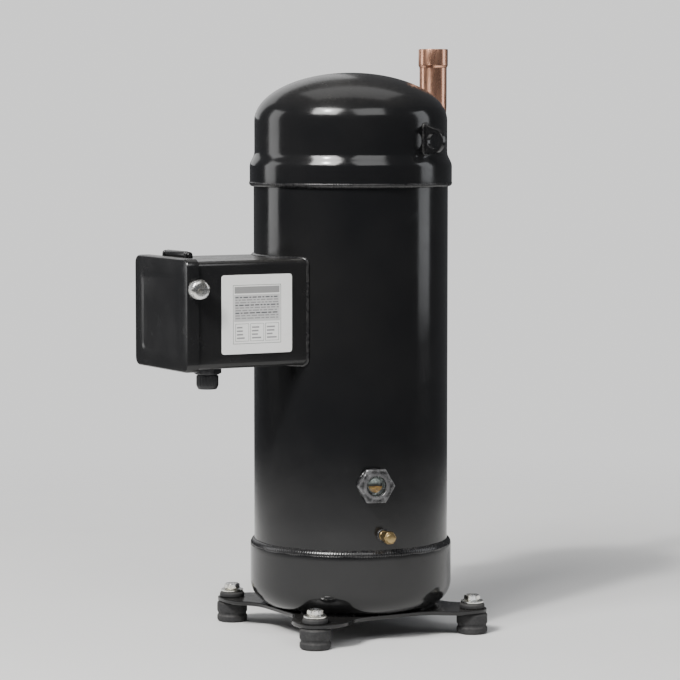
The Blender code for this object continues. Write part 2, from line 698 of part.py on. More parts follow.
def make_sight_glass(brass, glass, root):
    """A hexagonal brass body in the shell wall, with a glass disc in its mouth."""
    inner_end = SHELL_BORE_R - 3 * MM
    face = SHELL_R + 18 * MM
    body = turned(
        "sight_glass_body",
        [(0, inner_end), (SIGHT_GLASS_R, inner_end), (SIGHT_GLASS_R, face - 8 * MM), (0, face - 8 * MM)],
        brass,
        root,
        ROUND_STEPS,
    )
    nut = prism("sight_glass_nut", hexagon(40 * MM), face - 10 * MM, face, None, root)
    bore = turned(
        "sight_glass_bore",
        [
            (0, inner_end - 5 * MM),
            (8 * MM, inner_end - 5 * MM),
            (8 * MM, face - 10 * MM),
            (12 * MM, face - 10 * MM),
            (12 * MM, face + 5 * MM),
            (0, face + 5 * MM),
        ],
        None,
        root,
        24,
    )
    lens = rods(
        "sight_glass_lens",
        [(0, 0)],
        12 * MM - GAP,
        face - 10 * MM + GAP,
        face - 3 * MM,
        glass,
        root,
        24,
    )
    for obj in (body, nut, bore, lens):
        point_out(obj, SIGHT_GLASS_ANGLE, SIGHT_GLASS_Z)
    boolean(body, nut, "UNION")
    boolean(body, bore)


def make_oil_valve(brass, root, cap_axis):
    """An access valve low on the shell, and the hexagonal cap that pulls off it."""
    seat = SHELL_R + 13 * MM
    stem_r = 4 * MM
    stem_end = seat + 9 * MM
    body = turned(
        "oil_valve_body",
        [
            (0, SHELL_BORE_R - 3 * MM),
            (OIL_VALVE_R, SHELL_BORE_R - 3 * MM),
            (OIL_VALVE_R, seat),
            (stem_r, seat),
            (stem_r, stem_end),
            (0, stem_end),
        ],
        brass,
        root,
        SMALL_STEPS,
    )
    point_out(body, OIL_VALVE_ANGLE, OIL_VALVE_Z)
    cap = prism("oil_valve_cap", hexagon(14 * MM), seat + GAP, VALVE_CAP_REACH, brass, cap_axis)
    bore = rods(
        "oil_valve_cap_bore", [(0, 0)], stem_r + GAP, seat - 5 * MM, stem_end + 1 * MM, None, cap_axis
    )
    for obj in (cap, bore):
        obj.rotation_euler = (0, math.pi / 2, OIL_VALVE_ANGLE)
    boolean(cap, bore)


# -------------------------------------------------------------------------------------- terminal box


def make_terminal_box(paint, root):
    """A steel box scribed to the shell, open at its outer end, with the cover's hinge ears on top."""
    back = BACK_PLATE_X
    box = prism(
        "terminal_box",
        rounded_box(BOX_HEIGHT, BOX_WIDTH, BOX_CORNER),
        SHELL_R * 0.6,
        BOX_REACH,
        paint,
        root,
    )
    inside = rounded_box(BOX_HEIGHT - 2 * BOX_WALL, BOX_WIDTH - 2 * BOX_WALL, BOX_CORNER - BOX_WALL)
    cavity = prism("box_cavity", inside, back + BOX_WALL, BOX_REACH + 10 * MM, None, root)
    rear = prism("box_rear_cavity", inside, SHELL_R / 4, back, None, root)
    window = rods(
        "terminal_window", [(0, 0)], TERMINAL_R + 7 * MM, back - 5 * MM, back + 10 * MM, None, root, 24
    )
    point_out(box, math.pi, TERMINAL_Z)
    for cutter in (cavity, rear, window):
        point_out(cutter, math.pi, TERMINAL_Z)
        boolean(box, cutter)

    shell_clearance = rods(
        "box_shell_clearance", [(0, 0)], SHELL_R + GAP, 0, DOME_Z, None, root, VESSEL_STEPS
    )
    boolean(box, shell_clearance)

    gland_hole = rods(
        "gland_hole", [gland_place()], GLAND_THREAD_R + GAP, BOX_Z / 2, BOX_Z + 9 * MM, None, root, 20
    )
    boolean(box, gland_hole)

    ear_y = KNUCKLE_LENGTH / 2 + 2 * MM
    ears = bmesh.new()
    for side in (-1, 1):
        near, far = sorted((side * ear_y, side * (ear_y + EAR_THICK)))
        low_x, high_x = -HINGE_X - 5 * MM, -HINGE_X + 5 * MM
        outline = [(low_x, near), (high_x, near), (high_x, far), (low_x, far)]
        extrude_outline(ears, outline, BOX_TOP_Z - BOX_WALL / 2, HINGE_Z + 4 * MM)
    boolean(box, finish_object("hinge_ears", ears, None, root), "UNION")

    pin = rods(
        "hinge_pin", [(-HINGE_X, HINGE_Z)], HINGE_PIN_R, -ear_y - 2 * MM, ear_y + 2 * MM, None, root, 12
    )
    pin.rotation_euler = (math.pi / 2, 0, 0)
    boolean(box, pin, "UNION")

    screw_hole = rods(
        "box_screw_hole", [(0, 0)], COVER_SCREW_R + RUN_GAP, BOX_WIDTH / 3, BOX_WIDTH, None, root
    )
    screw_hole.location = (-COVER_SCREW_X, 0, COVER_SCREW_Z)
    screw_hole.rotation_euler = (math.pi / 2, 0, 0)
    boolean(box, screw_hole)


def gland_place():
    """The gland's place in the box's underside, as (x, y)."""
    return (-BOX_REACH + GLAND_FROM_RIM, GLAND_SIDE)


def make_box_cover(paint, rubber, zinc, hinge):
    """The cover, its gasket and its screw. They hang on the hinge, so their places are from its axis."""

    def place(obj):
        obj.location = (HINGE_X, 0, TERMINAL_Z - HINGE_Z)
        obj.rotation_euler = (0, math.pi / 2, math.pi)
        return obj

    grow = 2 * (COVER_LIP_GAP + COVER_THICK)
    outside = rounded_box(BOX_HEIGHT + grow, BOX_WIDTH + grow, BOX_CORNER + grow / 2)
    grow = 2 * COVER_LIP_GAP
    inside = rounded_box(BOX_HEIGHT + grow, BOX_WIDTH + grow, BOX_CORNER + grow / 2)
    cover = place(prism("terminal_box_cover", outside, COVER_LIP_X, COVER_FACE_X, paint, hinge))
    boolean(cover, place(prism("cover_cavity", inside, COVER_LIP_X - 5 * MM, COVER_X, None, hinge)))

    half = KNUCKLE_LENGTH / 2
    knuckle = rods("cover_knuckle", [(0, 0)], HINGE_PIN_R + 2.4 * MM, -half, half, None, hinge, 16)
    knuckle.rotation_euler = (math.pi / 2, 0, 0)
    boolean(cover, knuckle, "UNION")
    web_high = COVER_LIP_GAP + COVER_THICK - HINGE_RISE - 0.4 * MM
    web = block(
        "cover_web",
        (-HINGE_INSET - 3 * MM, -half, COVER_LIP_GAP + 0.5 * MM - HINGE_RISE),
        (-1 * MM, half, web_high),
        None,
        hinge,
    )
    boolean(cover, web, "UNION")
    pin_bore = rods("cover_pin_bore", [(0, 0)], HINGE_PIN_R + RUN_GAP, -half * 2, half * 2, None, hinge, 12)
    pin_bore.rotation_euler = (math.pi / 2, 0, 0)
    boolean(cover, pin_bore)
    frame = rounded_box(BOX_HEIGHT, BOX_WIDTH, BOX_CORNER)
    gasket_low = BOX_REACH + GAP
    gasket = place(
        prism("cover_gasket", frame, gasket_low, gasket_low + GASKET_THICK, rubber, hinge)
    )
    opening = rounded_box(BOX_HEIGHT - 2 * GASKET_WIDTH, BOX_WIDTH - 2 * GASKET_WIDTH, 3 * MM)
    boolean(gasket, place(prism("gasket_opening", opening, BOX_WIDTH, COVER_FACE_X, None, hinge)))

    make_cover_screw(cover, zinc, hinge)


def make_cover_screw(cover, zinc, hinge):
    """The knurled screw through the cover's -Y lip into the box, and its hole in the lip."""
    lip = BOX_WIDTH / 2 + COVER_LIP_GAP + COVER_THICK
    shoulder = lip + GAP
    knob = shoulder + 3 * MM
    screw = turned(
        "cover_screw",
        [
            (0, BOX_WIDTH / 2 - BOX_WALL - 6 * MM),
            (COVER_SCREW_R, BOX_WIDTH / 2 - BOX_WALL - 6 * MM),
            (COVER_SCREW_R, shoulder),
            (0.6 * COVER_KNOB_R, shoulder),
            (0.6 * COVER_KNOB_R, knob),
            (COVER_KNOB_R, knob),
            (COVER_KNOB_R, knob + COVER_KNOB_LENGTH - 2 * MM),
            (COVER_KNOB_R - 2 * MM, knob + COVER_KNOB_LENGTH),
            (0, knob + COVER_KNOB_LENGTH),
        ],
        zinc,
        hinge,
        2 * SMALL_STEPS,
    )
    hole = rods(
        "cover_screw_hole", [(0, 0)], COVER_SCREW_R + GAP, BOX_WIDTH / 3, BOX_WIDTH, None, hinge
    )
    for obj in (screw, hole):
        obj.location = (HINGE_X - COVER_SCREW_X, 0, COVER_SCREW_Z - HINGE_Z)
        obj.rotation_euler = (math.pi / 2, 0, 0)
    boolean(cover, hole)


def make_terminals(steel, plastic, root):
    """The sealed power terminal in the shell wall, its block, and the motor protection module."""
    inner_end = SHELL_BORE_R - 6 * MM
    face = SHELL_R + 4 * MM
    pins = circle(TERMINAL_PIN_CIRCLE, 3)
    terminal = rods("power_terminal", [(0, 0)], TERMINAL_R, inner_end, face, steel, root, 24)
    pin_set = rods(
        "terminal_pins", pins, TERMINAL_PIN_R, inner_end - 14 * MM, face + 30 * MM, None, root, 12
    )
    boolean(terminal, pin_set, "UNION")
    block_low = face + 3 * MM
    insulator = rods(
        "terminal_block", [(0, 0)], TERMINAL_R + 4 * MM, block_low, block_low + 14 * MM, plastic, root, 24
    )
    pin_holes = rods(
        "terminal_block_holes", pins, TERMINAL_PIN_R + RUN_GAP, face, face + 40 * MM, None, root, 12
    )
    for obj in (terminal, pin_set, insulator, pin_holes):
        point_out(obj, math.pi, TERMINAL_Z)
    boolean(insulator, pin_holes)
    back = BACK_PLATE_X + BOX_WALL + GAP
    edge = BOX_WIDTH / 2 - BOX_WALL - 3 * MM
    block(
        "motor_protector",
        (-back - 32 * MM, edge - 28 * MM, TERMINAL_Z - 45 * MM),
        (-back, edge, TERMINAL_Z + 45 * MM),
        plastic,
        root,
    )


def make_cable_gland(zinc, root):
    """A conduit connector in the box's underside, and its lock nut inside.

    They are drawn pointing up, then turned over.
    """
    wall = BOX_HEIGHT / 2
    thread_end = wall - BOX_WALL - 9 * MM
    gland = turned(
        "cable_gland",
        [
            (0, thread_end),
            (GLAND_THREAD_R, thread_end),
            (GLAND_THREAD_R, wall + 8 * MM),
            (13.5 * MM, wall + 8 * MM),
            (13.5 * MM, wall + 22 * MM),
            (11 * MM, wall + 27 * MM),
            (0, wall + 27 * MM),
        ],
        zinc,
        root,
        24,
    )
    collar = prism("gland_collar", hexagon(29 * MM), wall + GAP, wall + 9 * MM, None, root)
    bore = rods("gland_bore", [(0, 0)], GLAND_BORE_R, wall / 2, BOX_HEIGHT, None, root, 24)
    nut_high = wall - BOX_WALL - GAP
    nut = prism("gland_locknut", hexagon(29 * MM), nut_high - 4.5 * MM, nut_high, zinc, root)
    nut_hole = rods(
        "gland_locknut_hole", [(0, 0)], GLAND_THREAD_R + GAP, 0, BOX_HEIGHT, None, root, 20
    )
    for obj in (gland, collar, bore, nut, nut_hole):
        obj.location = (*gland_place(), TERMINAL_Z)
        obj.rotation_euler = (math.pi, 0, 0)
    boolean(gland, collar, "UNION")
    boolean(gland, bore)
    boolean(nut, nut_hole)


def make_wiring_label(label, root):
    """A thin plate on the box's -Y wall."""
    face = -BOX_WIDTH / 2 - GAP
    block(
        "wiring_label",
        (-SHELL_R - LABEL_SIZE, face - 0.5 * MM, TERMINAL_Z - LABEL_SIZE / 2),
        (-SHELL_R, face, TERMINAL_Z + LABEL_SIZE / 2),
        label,
        root,
    )


# ---------------------------------------------------------------------------------------- scroll set


def wrap_strip(bm, turn, low, high):
    """An involute wall between two heights, turned about Z by an angle."""
    # The facets grow shorter inwards, which keeps the same error from the curve all along
    first, last = WRAP_START**1.5, WRAP_END**1.5
    steps = math.ceil((last - first) * math.sqrt(INVOLUTE_BASE / WRAP_SAGITTA / 18))
    pairs = []
    for i in range(steps + 1):
        phi = (first + (last - first) * i / steps) ** (2 / 3)
        pair = []
        for side in (1, -1):
            roll = phi + side * WRAP_HALF_ANGLE
            x = INVOLUTE_BASE * (math.cos(phi) + roll * math.sin(phi))
            y = INVOLUTE_BASE * (math.sin(phi) - roll * math.cos(phi))
            c, s = math.cos(turn), math.sin(turn)
            pair.append(bm.verts.new((x * c - y * s, x * s + y * c, low)))
        pairs.append(pair)
    faces = [bm.faces.new((a[0], b[0], b[1], a[1])) for a, b in zip(pairs, pairs[1:])]
    extrude_faces(bm, faces, high - low)


def make_wrap(name, turn, low, high, parent):
    bm = bmesh.new()
    wrap_strip(bm, turn, low, high)
    return finish_object(name, bm, None, parent)


def scroll_bolt_places():
    radius = PRESS_R - HOUSING_RIM / 2
    return circle(radius, 4, start=math.pi / 4)


def make_fixed_scroll(iron, root):
    """The end plate with its seal groove, the wall round the wrap, and the flange on the housing's posts."""
    wall_in = PRESS_R - HOUSING_RIM
    profile = [
        (PORT_R, FIXED_FACE_Z),
        (wall_in, FIXED_FACE_Z),
        (wall_in, FIXED_TIP_Z),
        (wall_in + FIXED_WALL_THICK, FIXED_TIP_Z),
        (wall_in + FIXED_WALL_THICK, FIXED_FACE_Z - FIXED_FLANGE_THICK),
        (PRESS_R, FIXED_FACE_Z - FIXED_FLANGE_THICK),
        (PRESS_R, FIXED_FACE_Z),
        (wall_in, FIXED_FACE_Z + 8 * MM),
        (SEAL_OUTER_R + 12 * MM, FIXED_TOP_Z),
        (SEAL_OUTER_R, FIXED_TOP_Z),
        (SEAL_OUTER_R, FIXED_TOP_Z - SEAL_GROOVE_DEPTH),
        (SEAL_INNER_R, FIXED_TOP_Z - SEAL_GROOVE_DEPTH),
        (SEAL_INNER_R, FIXED_TOP_Z),
        (PORT_R, FIXED_TOP_Z),
    ]
    scroll = turned("fixed_scroll", profile, iron, root, INNER_STEPS)
    wrap = make_wrap("fixed_wrap", math.pi, FIXED_TIP_Z, FIXED_FACE_Z + 3 * MM, root)
    boolean(scroll, wrap, "UNION")
    holes = rods(
        "fixed_scroll_bolt_holes",
        scroll_bolt_places(),
        SCROLL_BOLT_R + GAP,
        FIXED_TIP_Z,
        FIXED_TOP_Z,
        None,
        root,
    )
    boolean(scroll, holes)
    relief = rods(
        "bolt_head_relief",
        scroll_bolt_places(),
        2.4 * SCROLL_BOLT_R,
        FIXED_FACE_Z - 2 * MM,
        FIXED_TOP_Z,
        None,
        root,
    )
    boolean(scroll, relief)
    inlet = block(
        "suction_inlet",
        (-18 * MM, wall_in - 6 * MM, FIXED_TIP_Z - 5 * MM),
        (18 * MM, SHELL_R, FIXED_FACE_Z - FIXED_FLANGE_THICK),
        None,
        root,
    )
    boolean(scroll, inlet)


def make_scroll_bolts(zinc, root):
    head_z = FIXED_FACE_Z - 2 * MM + GAP
    tip_z = FIXED_FACE_Z - FIXED_FLANGE_THICK - 24 * MM
    profile = [
        (0, tip_z),
        (SCROLL_BOLT_R, tip_z),
        (SCROLL_BOLT_R, head_z),
        (1.7 * SCROLL_BOLT_R, head_z),
        (1.7 * SCROLL_BOLT_R, head_z + 2 * SCROLL_BOLT_R),
        (0, head_z + 2 * SCROLL_BOLT_R),
    ]
    for number, (x, y) in enumerate(scroll_bolt_places(), 1):
        bolt = turned(f"scroll_bolt_{number}", profile, zinc, root, SMALL_STEPS)
        bolt.location = (x, y, 0)


def make_orbiting_scroll(steel, bronze, axis):
    """The orbiting scroll about its own axis, and the bearing liner in its hub."""
    profile = [
        (0, ORBIT_FACE_Z),
        (ORBIT_PLATE_R, ORBIT_FACE_Z),
        (ORBIT_PLATE_R, ORBIT_BACK_Z),
        (HUB_R, ORBIT_BACK_Z),
        (HUB_R, HUB_TIP_Z),
        (HUB_BORE_R, HUB_TIP_Z),
        (HUB_BORE_R, ORBIT_BACK_Z - 4 * MM),
        (0, ORBIT_BACK_Z - 4 * MM),
    ]
    scroll = turned("orbiting_scroll", profile[::-1], steel, axis, INNER_STEPS)
    wrap = make_wrap("orbiting_wrap", 0.0, ORBIT_FACE_Z - 3 * MM, FIXED_FACE_Z - TIP_GAP, axis)
    boolean(scroll, wrap, "UNION")
    half = KEY_WIDTH / 2 + RUN_GAP
    near = OLDHAM_INNER_R - ORBIT_RADIUS - 0.5 * MM
    slot_top = OLDHAM_TOP_Z + GAP + KEY_HEIGHT + 0.6 * MM
    slots = bmesh.new()
    for side in (-1, 1):
        low, high = sorted((side * near, side * (ORBIT_PLATE_R + 10 * MM)))
        extrude_outline(slots, [(-half, low), (half, low), (half, high), (-half, high)], THRUST_Z, slot_top)
    boolean(scroll, finish_object("orbiting_key_slots", slots, None, axis))
    liner_low = HUB_TIP_Z + 1 * MM
    liner_high = ORBIT_BACK_Z - 5 * MM
    liner = [
        (DRIVE_BEARING_BORE_R, liner_low),
        (DRIVE_BEARING_R, liner_low),
        (DRIVE_BEARING_R, liner_high),
        (DRIVE_BEARING_BORE_R, liner_high),
    ]
    turned("drive_bearing", liner, bronze, axis, ROUND_STEPS)


def make_oldham_coupling(iron, ring_axis, key_axis):
    """The ring, and its keys: two below along X for the housing, two above along Y for the scroll."""
    ring = turned(
        "oldham_ring",
        [
            (OLDHAM_INNER_R, OLDHAM_Z),
            (OLDHAM_R, OLDHAM_Z),
            (OLDHAM_R, OLDHAM_TOP_Z),
            (OLDHAM_INNER_R, OLDHAM_TOP_Z),
        ],
        iron,
        ring_axis,
        INNER_STEPS,
    )
    ring.location = (0, -ORBIT_RADIUS / 2, 0)
    middle = OLDHAM_INNER_R + OLDHAM_WIDTH / 2
    length, width = KEY_LENGTH / 2, KEY_WIDTH / 2
    keys = (
        ("housing_1", (-middle, 0), (length, width), OLDHAM_Z - GAP - KEY_HEIGHT),
        ("housing_2", (middle, 0), (length, width), OLDHAM_Z - GAP - KEY_HEIGHT),
        ("scroll_1", (0, -middle), (width, length), OLDHAM_TOP_Z + GAP),
        ("scroll_2", (0, middle), (width, length), OLDHAM_TOP_Z + GAP),
    )
    for name, (x, y), (half_x, half_y), low in keys:
        block(
            f"oldham_key_{name}",
            (x - half_x, y - half_y, low),
            (x + half_x, y + half_y, low + KEY_HEIGHT),
            iron,
            key_axis,
        )


def make_bearing_housing(iron, bronze, root):
    """The main bearing housing with its four posts, its bush, and the thrust plate on it."""
    bore = MAIN_BUSH_R + GAP
    nose = bore + 13 * MM
    post_top = FIXED_FACE_Z - FIXED_FLANGE_THICK - GAP
    profile = [
        (bore, JOURNAL_Z),
        (nose, JOURNAL_Z),
        (nose + 14 * MM, HOUSING_Z),
        (PRESS_R, HOUSING_Z),
        (PRESS_R, post_top),
        (POST_BORE_R + FIXED_WALL_THICK + 1 * MM, post_top),
        (POST_BORE_R + FIXED_WALL_THICK + 1 * MM, FIXED_TIP_Z - 1 * MM),
        (POST_BORE_R, FIXED_TIP_Z - 1 * MM),
        (POST_BORE_R, POCKET_Z),
        (THRUST_R, POCKET_Z),
        (THRUST_R, THRUST_Z),
        (HUB_CAVITY_R, THRUST_Z),
        (HUB_CAVITY_R, JOURNAL_TOP_Z),
        (bore, JOURNAL_TOP_Z),
    ]
    housing = turned("main_bearing_housing", profile, iron, root, INNER_STEPS)
    half = 0.55 * PRESS_R
    low = ORBIT_BACK_Z + 2 * MM
    for name, x, y in (("windows_x", SHELL_R, half), ("windows_y", half, SHELL_R)):
        windows = block(name, (-x, -y, low), (x, y, FIXED_TOP_Z), None, root)
        boolean(housing, windows)
    holes = rods(
        "post_bolt_holes",
        scroll_bolt_places(),
        SCROLL_BOLT_R + GAP,
        post_top - 27 * MM,
        FIXED_TOP_Z,
        None,
        root,
    )
    boolean(housing, holes)
    middle = OLDHAM_INNER_R + OLDHAM_WIDTH / 2
    reach = KEY_LENGTH / 2 + ORBIT_RADIUS + 0.5 * MM
    wide = KEY_WIDTH / 2 + RUN_GAP
    slots = bmesh.new()
    for side in (-1, 1):
        near, far = sorted((side * (middle - reach), side * (middle + reach)))
        outline = [(near, -wide), (far, -wide), (far, wide), (near, wide)]
        extrude_outline(slots, outline, POCKET_Z - KEY_HEIGHT - 1 * MM, POCKET_Z + 5 * MM)
    boolean(housing, finish_object("housing_key_slots", slots, None, root))

    bush = [
        (MAIN_BUSH_BORE_R, JOURNAL_Z),
        (MAIN_BUSH_R, JOURNAL_Z),
        (MAIN_BUSH_R, JOURNAL_TOP_Z - 1 * MM),
        (MAIN_BUSH_BORE_R, JOURNAL_TOP_Z - 1 * MM),
    ]
    turned("main_bearing_bush", bush, bronze, root, ROUND_STEPS)
    low = THRUST_Z + GAP
    washer = [
        (HUB_CAVITY_R, low),
        (THRUST_R, low),
        (THRUST_R, low + THRUST_PLATE_THICK),
        (HUB_CAVITY_R, low + THRUST_PLATE_THICK),
    ]
    turned("thrust_plate", washer, bronze, root, ROUND_STEPS)


def make_floating_seal(ptfe, axis):
    low = FIXED_TOP_Z - SEAL_GROOVE_DEPTH + GAP
    inner, outer = SEAL_INNER_R + SEAL_GAP, SEAL_OUTER_R - SEAL_GAP
    profile = [
        (inner, low),
        (outer, low),
        (outer, SEAL_TOP_Z - 4 * MM),
        (inner + 6 * MM, SEAL_TOP_Z - 4 * MM),
        (inner + 4 * MM, SEAL_TOP_Z),
        (inner, SEAL_TOP_Z),
    ]
    turned("floating_seal", profile, ptfe, axis, ROUND_STEPS)


def make_check_valve(steel, root, axis):
    """The discharge check valve on the muffler plate: a cage, and the disc that lifts in it."""
    low = MUFFLER_Z + MUFFLER_THICK + GAP
    seat = low + 3 * MM
    top = seat + 14 * MM
    cage = turned(
        "check_valve_cage",
        [
            (14 * MM, low),
            (26 * MM, low),
            (26 * MM, top + 3 * MM),
            (6 * MM, top + 3 * MM),
            (6 * MM, top),
            (22 * MM, top),
            (22 * MM, seat),
            (14 * MM, seat),
        ],
        steel,
        root,
        SMALL_STEPS + 4,
    )
    windows = block(
        "cage_windows", (-10 * MM, -30 * MM, seat + 3 * MM), (10 * MM, 30 * MM, top - 1 * MM), None, root
    )
    boolean(cage, windows)
    rods("check_valve_disc", [(0, 0)], 20 * MM, seat + GAP, seat + GAP + 2.5 * MM, steel, axis, 24)


# ------------------------------------------------------------------------------- crankshaft and motor


def make_crankshaft(steel, crank):
    """A turned shaft with an oil bore, and the eccentric pin on its top end."""
    profile = [
        (0, TAIL_Z + OIL_BORE_LENGTH),
        (OIL_BORE_R, TAIL_Z + OIL_BORE_LENGTH),
        (OIL_BORE_R, TAIL_Z),
        (TAIL_R - 4 * MM, TAIL_Z),
        (TAIL_R, LOWER_HUB_Z - 10 * MM),
        (TAIL_R, LOWER_HUB_Z + LOWER_HUB_HEIGHT + 4 * MM),
        (SHAFT_R - 3 * MM, LOWER_HUB_Z + LOWER_HUB_HEIGHT + 4 * MM),
        (SHAFT_R - 3 * MM, STATOR_Z - END_RING_HEIGHT - 4 * MM),
        (SHAFT_R, STATOR_Z - END_RING_HEIGHT - 4 * MM),
        (SHAFT_R, JOURNAL_Z - 3 * MM),
        (JOURNAL_R, JOURNAL_Z - 3 * MM),
        (JOURNAL_R, JOURNAL_TOP_Z),
        (0, JOURNAL_TOP_Z),
    ]
    shaft = turned("crankshaft", profile, steel, crank, ROUND_STEPS)
    pin = rods(
        "crank_pin", [(0, ORBIT_RADIUS)], PIN_R, JOURNAL_TOP_Z - 2 * MM, HUB_TIP_Z + 23 * MM, None, crank, 24
    )
    boolean(shaft, pin, "UNION")


def make_drive_bush(bronze, crank):
    low = HUB_TIP_Z + 1 * MM
    bush = turned(
        "drive_bush",
        [
            (BUSH_BORE_R, low),
            (BUSH_R, low),
            (BUSH_R, HUB_TIP_Z + 24 * MM),
            (BUSH_BORE_R, HUB_TIP_Z + 24 * MM),
        ],
        bronze,
        crank,
        ROUND_STEPS,
    )
    bush.location = (0, ORBIT_RADIUS, 0)


def make_rotor(laminations, crank):
    ring_in, ring_out = ROTOR_BORE_R + 12 * MM, ROTOR_R - 5 * MM
    profile = [
        (ROTOR_BORE_R, STATOR_Z),
        (ring_in, STATOR_Z),
        (ring_in, STATOR_Z - END_RING_HEIGHT),
        (ring_out, STATOR_Z - END_RING_HEIGHT),
        (ring_out, STATOR_Z),
        (ROTOR_R, STATOR_Z),
        (ROTOR_R, STATOR_TOP_Z),
        (ring_out, STATOR_TOP_Z),
        (ring_out, STATOR_TOP_Z + END_RING_HEIGHT),
        (ring_in, STATOR_TOP_Z + END_RING_HEIGHT),
        (ring_in, STATOR_TOP_Z),
        (ROTOR_BORE_R, STATOR_TOP_Z),
    ]
    turned("rotor", profile, laminations, crank, ROUND_STEPS)


def make_counterweights(brass, crank):
    """Half rings on the rotor's end rings: the upper one opposite the pin, the lower one on its side."""
    inner = ROTOR_BORE_R + 6 * MM
    span = math.radians(80)
    upper_z = STATOR_TOP_Z + END_RING_HEIGHT + GAP
    lower_z = STATOR_Z - END_RING_HEIGHT - GAP - COUNTERWEIGHT_LOWER
    for name, middle, low, height in (
        ("upper_counterweight", -math.pi / 2, upper_z, COUNTERWEIGHT_UPPER),
        ("lower_counterweight", math.pi / 2, lower_z, COUNTERWEIGHT_LOWER),
    ):
        outline = arc(COUNTERWEIGHT_R, middle - span, middle + span, 16)
        outline += arc(inner, middle + span, middle - span, 10)
        prism(name, outline, low, low + height, brass, crank)


def slot_angles(half):
    """Angles of every slot's two sides, going round once."""
    middles = [2 * math.pi * i / SLOTS for i in range(SLOTS)]
    return [middle + side * half for middle in middles for side in (-1, 1)]


def make_stator(laminations, wire, root):
    """The slotted core, and the winding: a bar in each slot, joined by the two rings of end turns."""
    core = bmesh.new()
    polar_cells(
        core,
        slot_angles(SLOT_HALF_ANGLE),
        [STATOR_BORE_R, SLOT_R, PRESS_R],
        [STATOR_Z, STATOR_TOP_Z],
        lambda a, r, h: r == 1 or a % 2 == 1,
        lambda radius, height: height,
    )
    finish_object("stator_core", core, laminations, root)

    bar_in = STATOR_BORE_R + TOOTH_TIP
    bar_out = SLOT_R - RUN_GAP
    inner, outer = STATOR_BORE_R + 3 * MM, bar_out + 6 * MM
    low, high = END_TURN_Z, END_TURN_TOP_Z

    def rounded(radius, height):
        edge = radius in (inner, outer)
        slope = END_TURN_SLOPE if edge else 0.0
        return height + slope if height == low else height - slope if height == high else height

    winding = bmesh.new()
    half = SLOT_HALF_ANGLE - RUN_GAP / bar_in
    polar_cells(
        winding,
        slot_angles(half),
        [inner, bar_in, bar_out, outer],
        [low, STATOR_Z - GAP, STATOR_TOP_Z + GAP, high],
        lambda a, r, h: h != 1 or (r == 1 and a % 2 == 0),
        rounded,
    )
    finish_object("stator_winding", winding, wire, root)


def make_motor_leads(rubber, root):
    """The plug on the inner ends of the terminal pins, and the sleeve of leads down to the winding."""
    radius = SHELL_BORE_R - 6 * MM - 15 * MM
    lead_r = 5 * MM
    points = [
        (-radius + 1 * MM, 0, TERMINAL_Z + 2 * MM),
        (-radius + 5 * MM, 0, TERMINAL_Z - 6 * MM),
        (-radius + 7 * MM, 0, END_TURN_TOP_Z + 12 * MM),
        (-radius + 7 * MM, 0, END_TURN_TOP_Z + 2 * GAP),
    ]
    curve = bpy.data.curves.new("motor_leads", "CURVE")
    curve.dimensions = "3D"
    curve.bevel_depth = lead_r
    curve.bevel_resolution = 2
    curve.use_fill_caps = True
    spline = curve.splines.new("POLY")
    spline.points.add(len(points) - 1)
    for point, place in zip(spline.points, points):
        point.co = (*place, 1.0)
    curve.materials.append(rubber)
    leads = bpy.data.objects.new("motor_leads", curve)
    bpy.context.scene.collection.objects.link(leads)
    leads.parent = root


def make_lower_bearing(steel, bronze, root):
    """A three-armed bracket in the shell, with the tail bush in its hub."""
    bore = TAIL_BUSH_R + GAP
    low, high = LOWER_HUB_Z, LOWER_HUB_Z + LOWER_HUB_HEIGHT
    bracket = turned(
        "lower_bearing_bracket",
        [(bore, low), (LOWER_HUB_R, low), (LOWER_HUB_R, high), (bore, high)],
        steel,
        root,
        ROUND_STEPS,
    )
    outline = []
    spread = math.asin(BRACKET_ARM_WIDTH / 2 / PRESS_R)
    crotch = BRACKET_ARM_WIDTH / math.sqrt(3)
    for arm in range(3):
        middle = 2 * math.pi * arm / 3 + math.pi / 2
        outline += arc(PRESS_R, middle - spread, middle + spread, 4)
        outline += arc(crotch, middle + math.pi / 3, middle + math.pi / 3, 1)[:1]
    arms = prism("bracket_arms", outline, low + 6 * MM, low + 6 * MM + BRACKET_THICK, None, root)
    bore_cutter = rods("bracket_bore", [(0, 0)], bore, 0, DOME_Z, None, root, ROUND_STEPS)
    boolean(bracket, arms, "UNION")
    boolean(bracket, bore_cutter)
    bush = [
        (TAIL_BUSH_BORE_R, low),
        (TAIL_BUSH_R, low),
        (TAIL_BUSH_R, high),
        (TAIL_BUSH_BORE_R, high),
    ]
    turned("lower_bearing_bush", bush, bronze, root, ROUND_STEPS)


# ---------------------------------------------------------------------------------------------- build


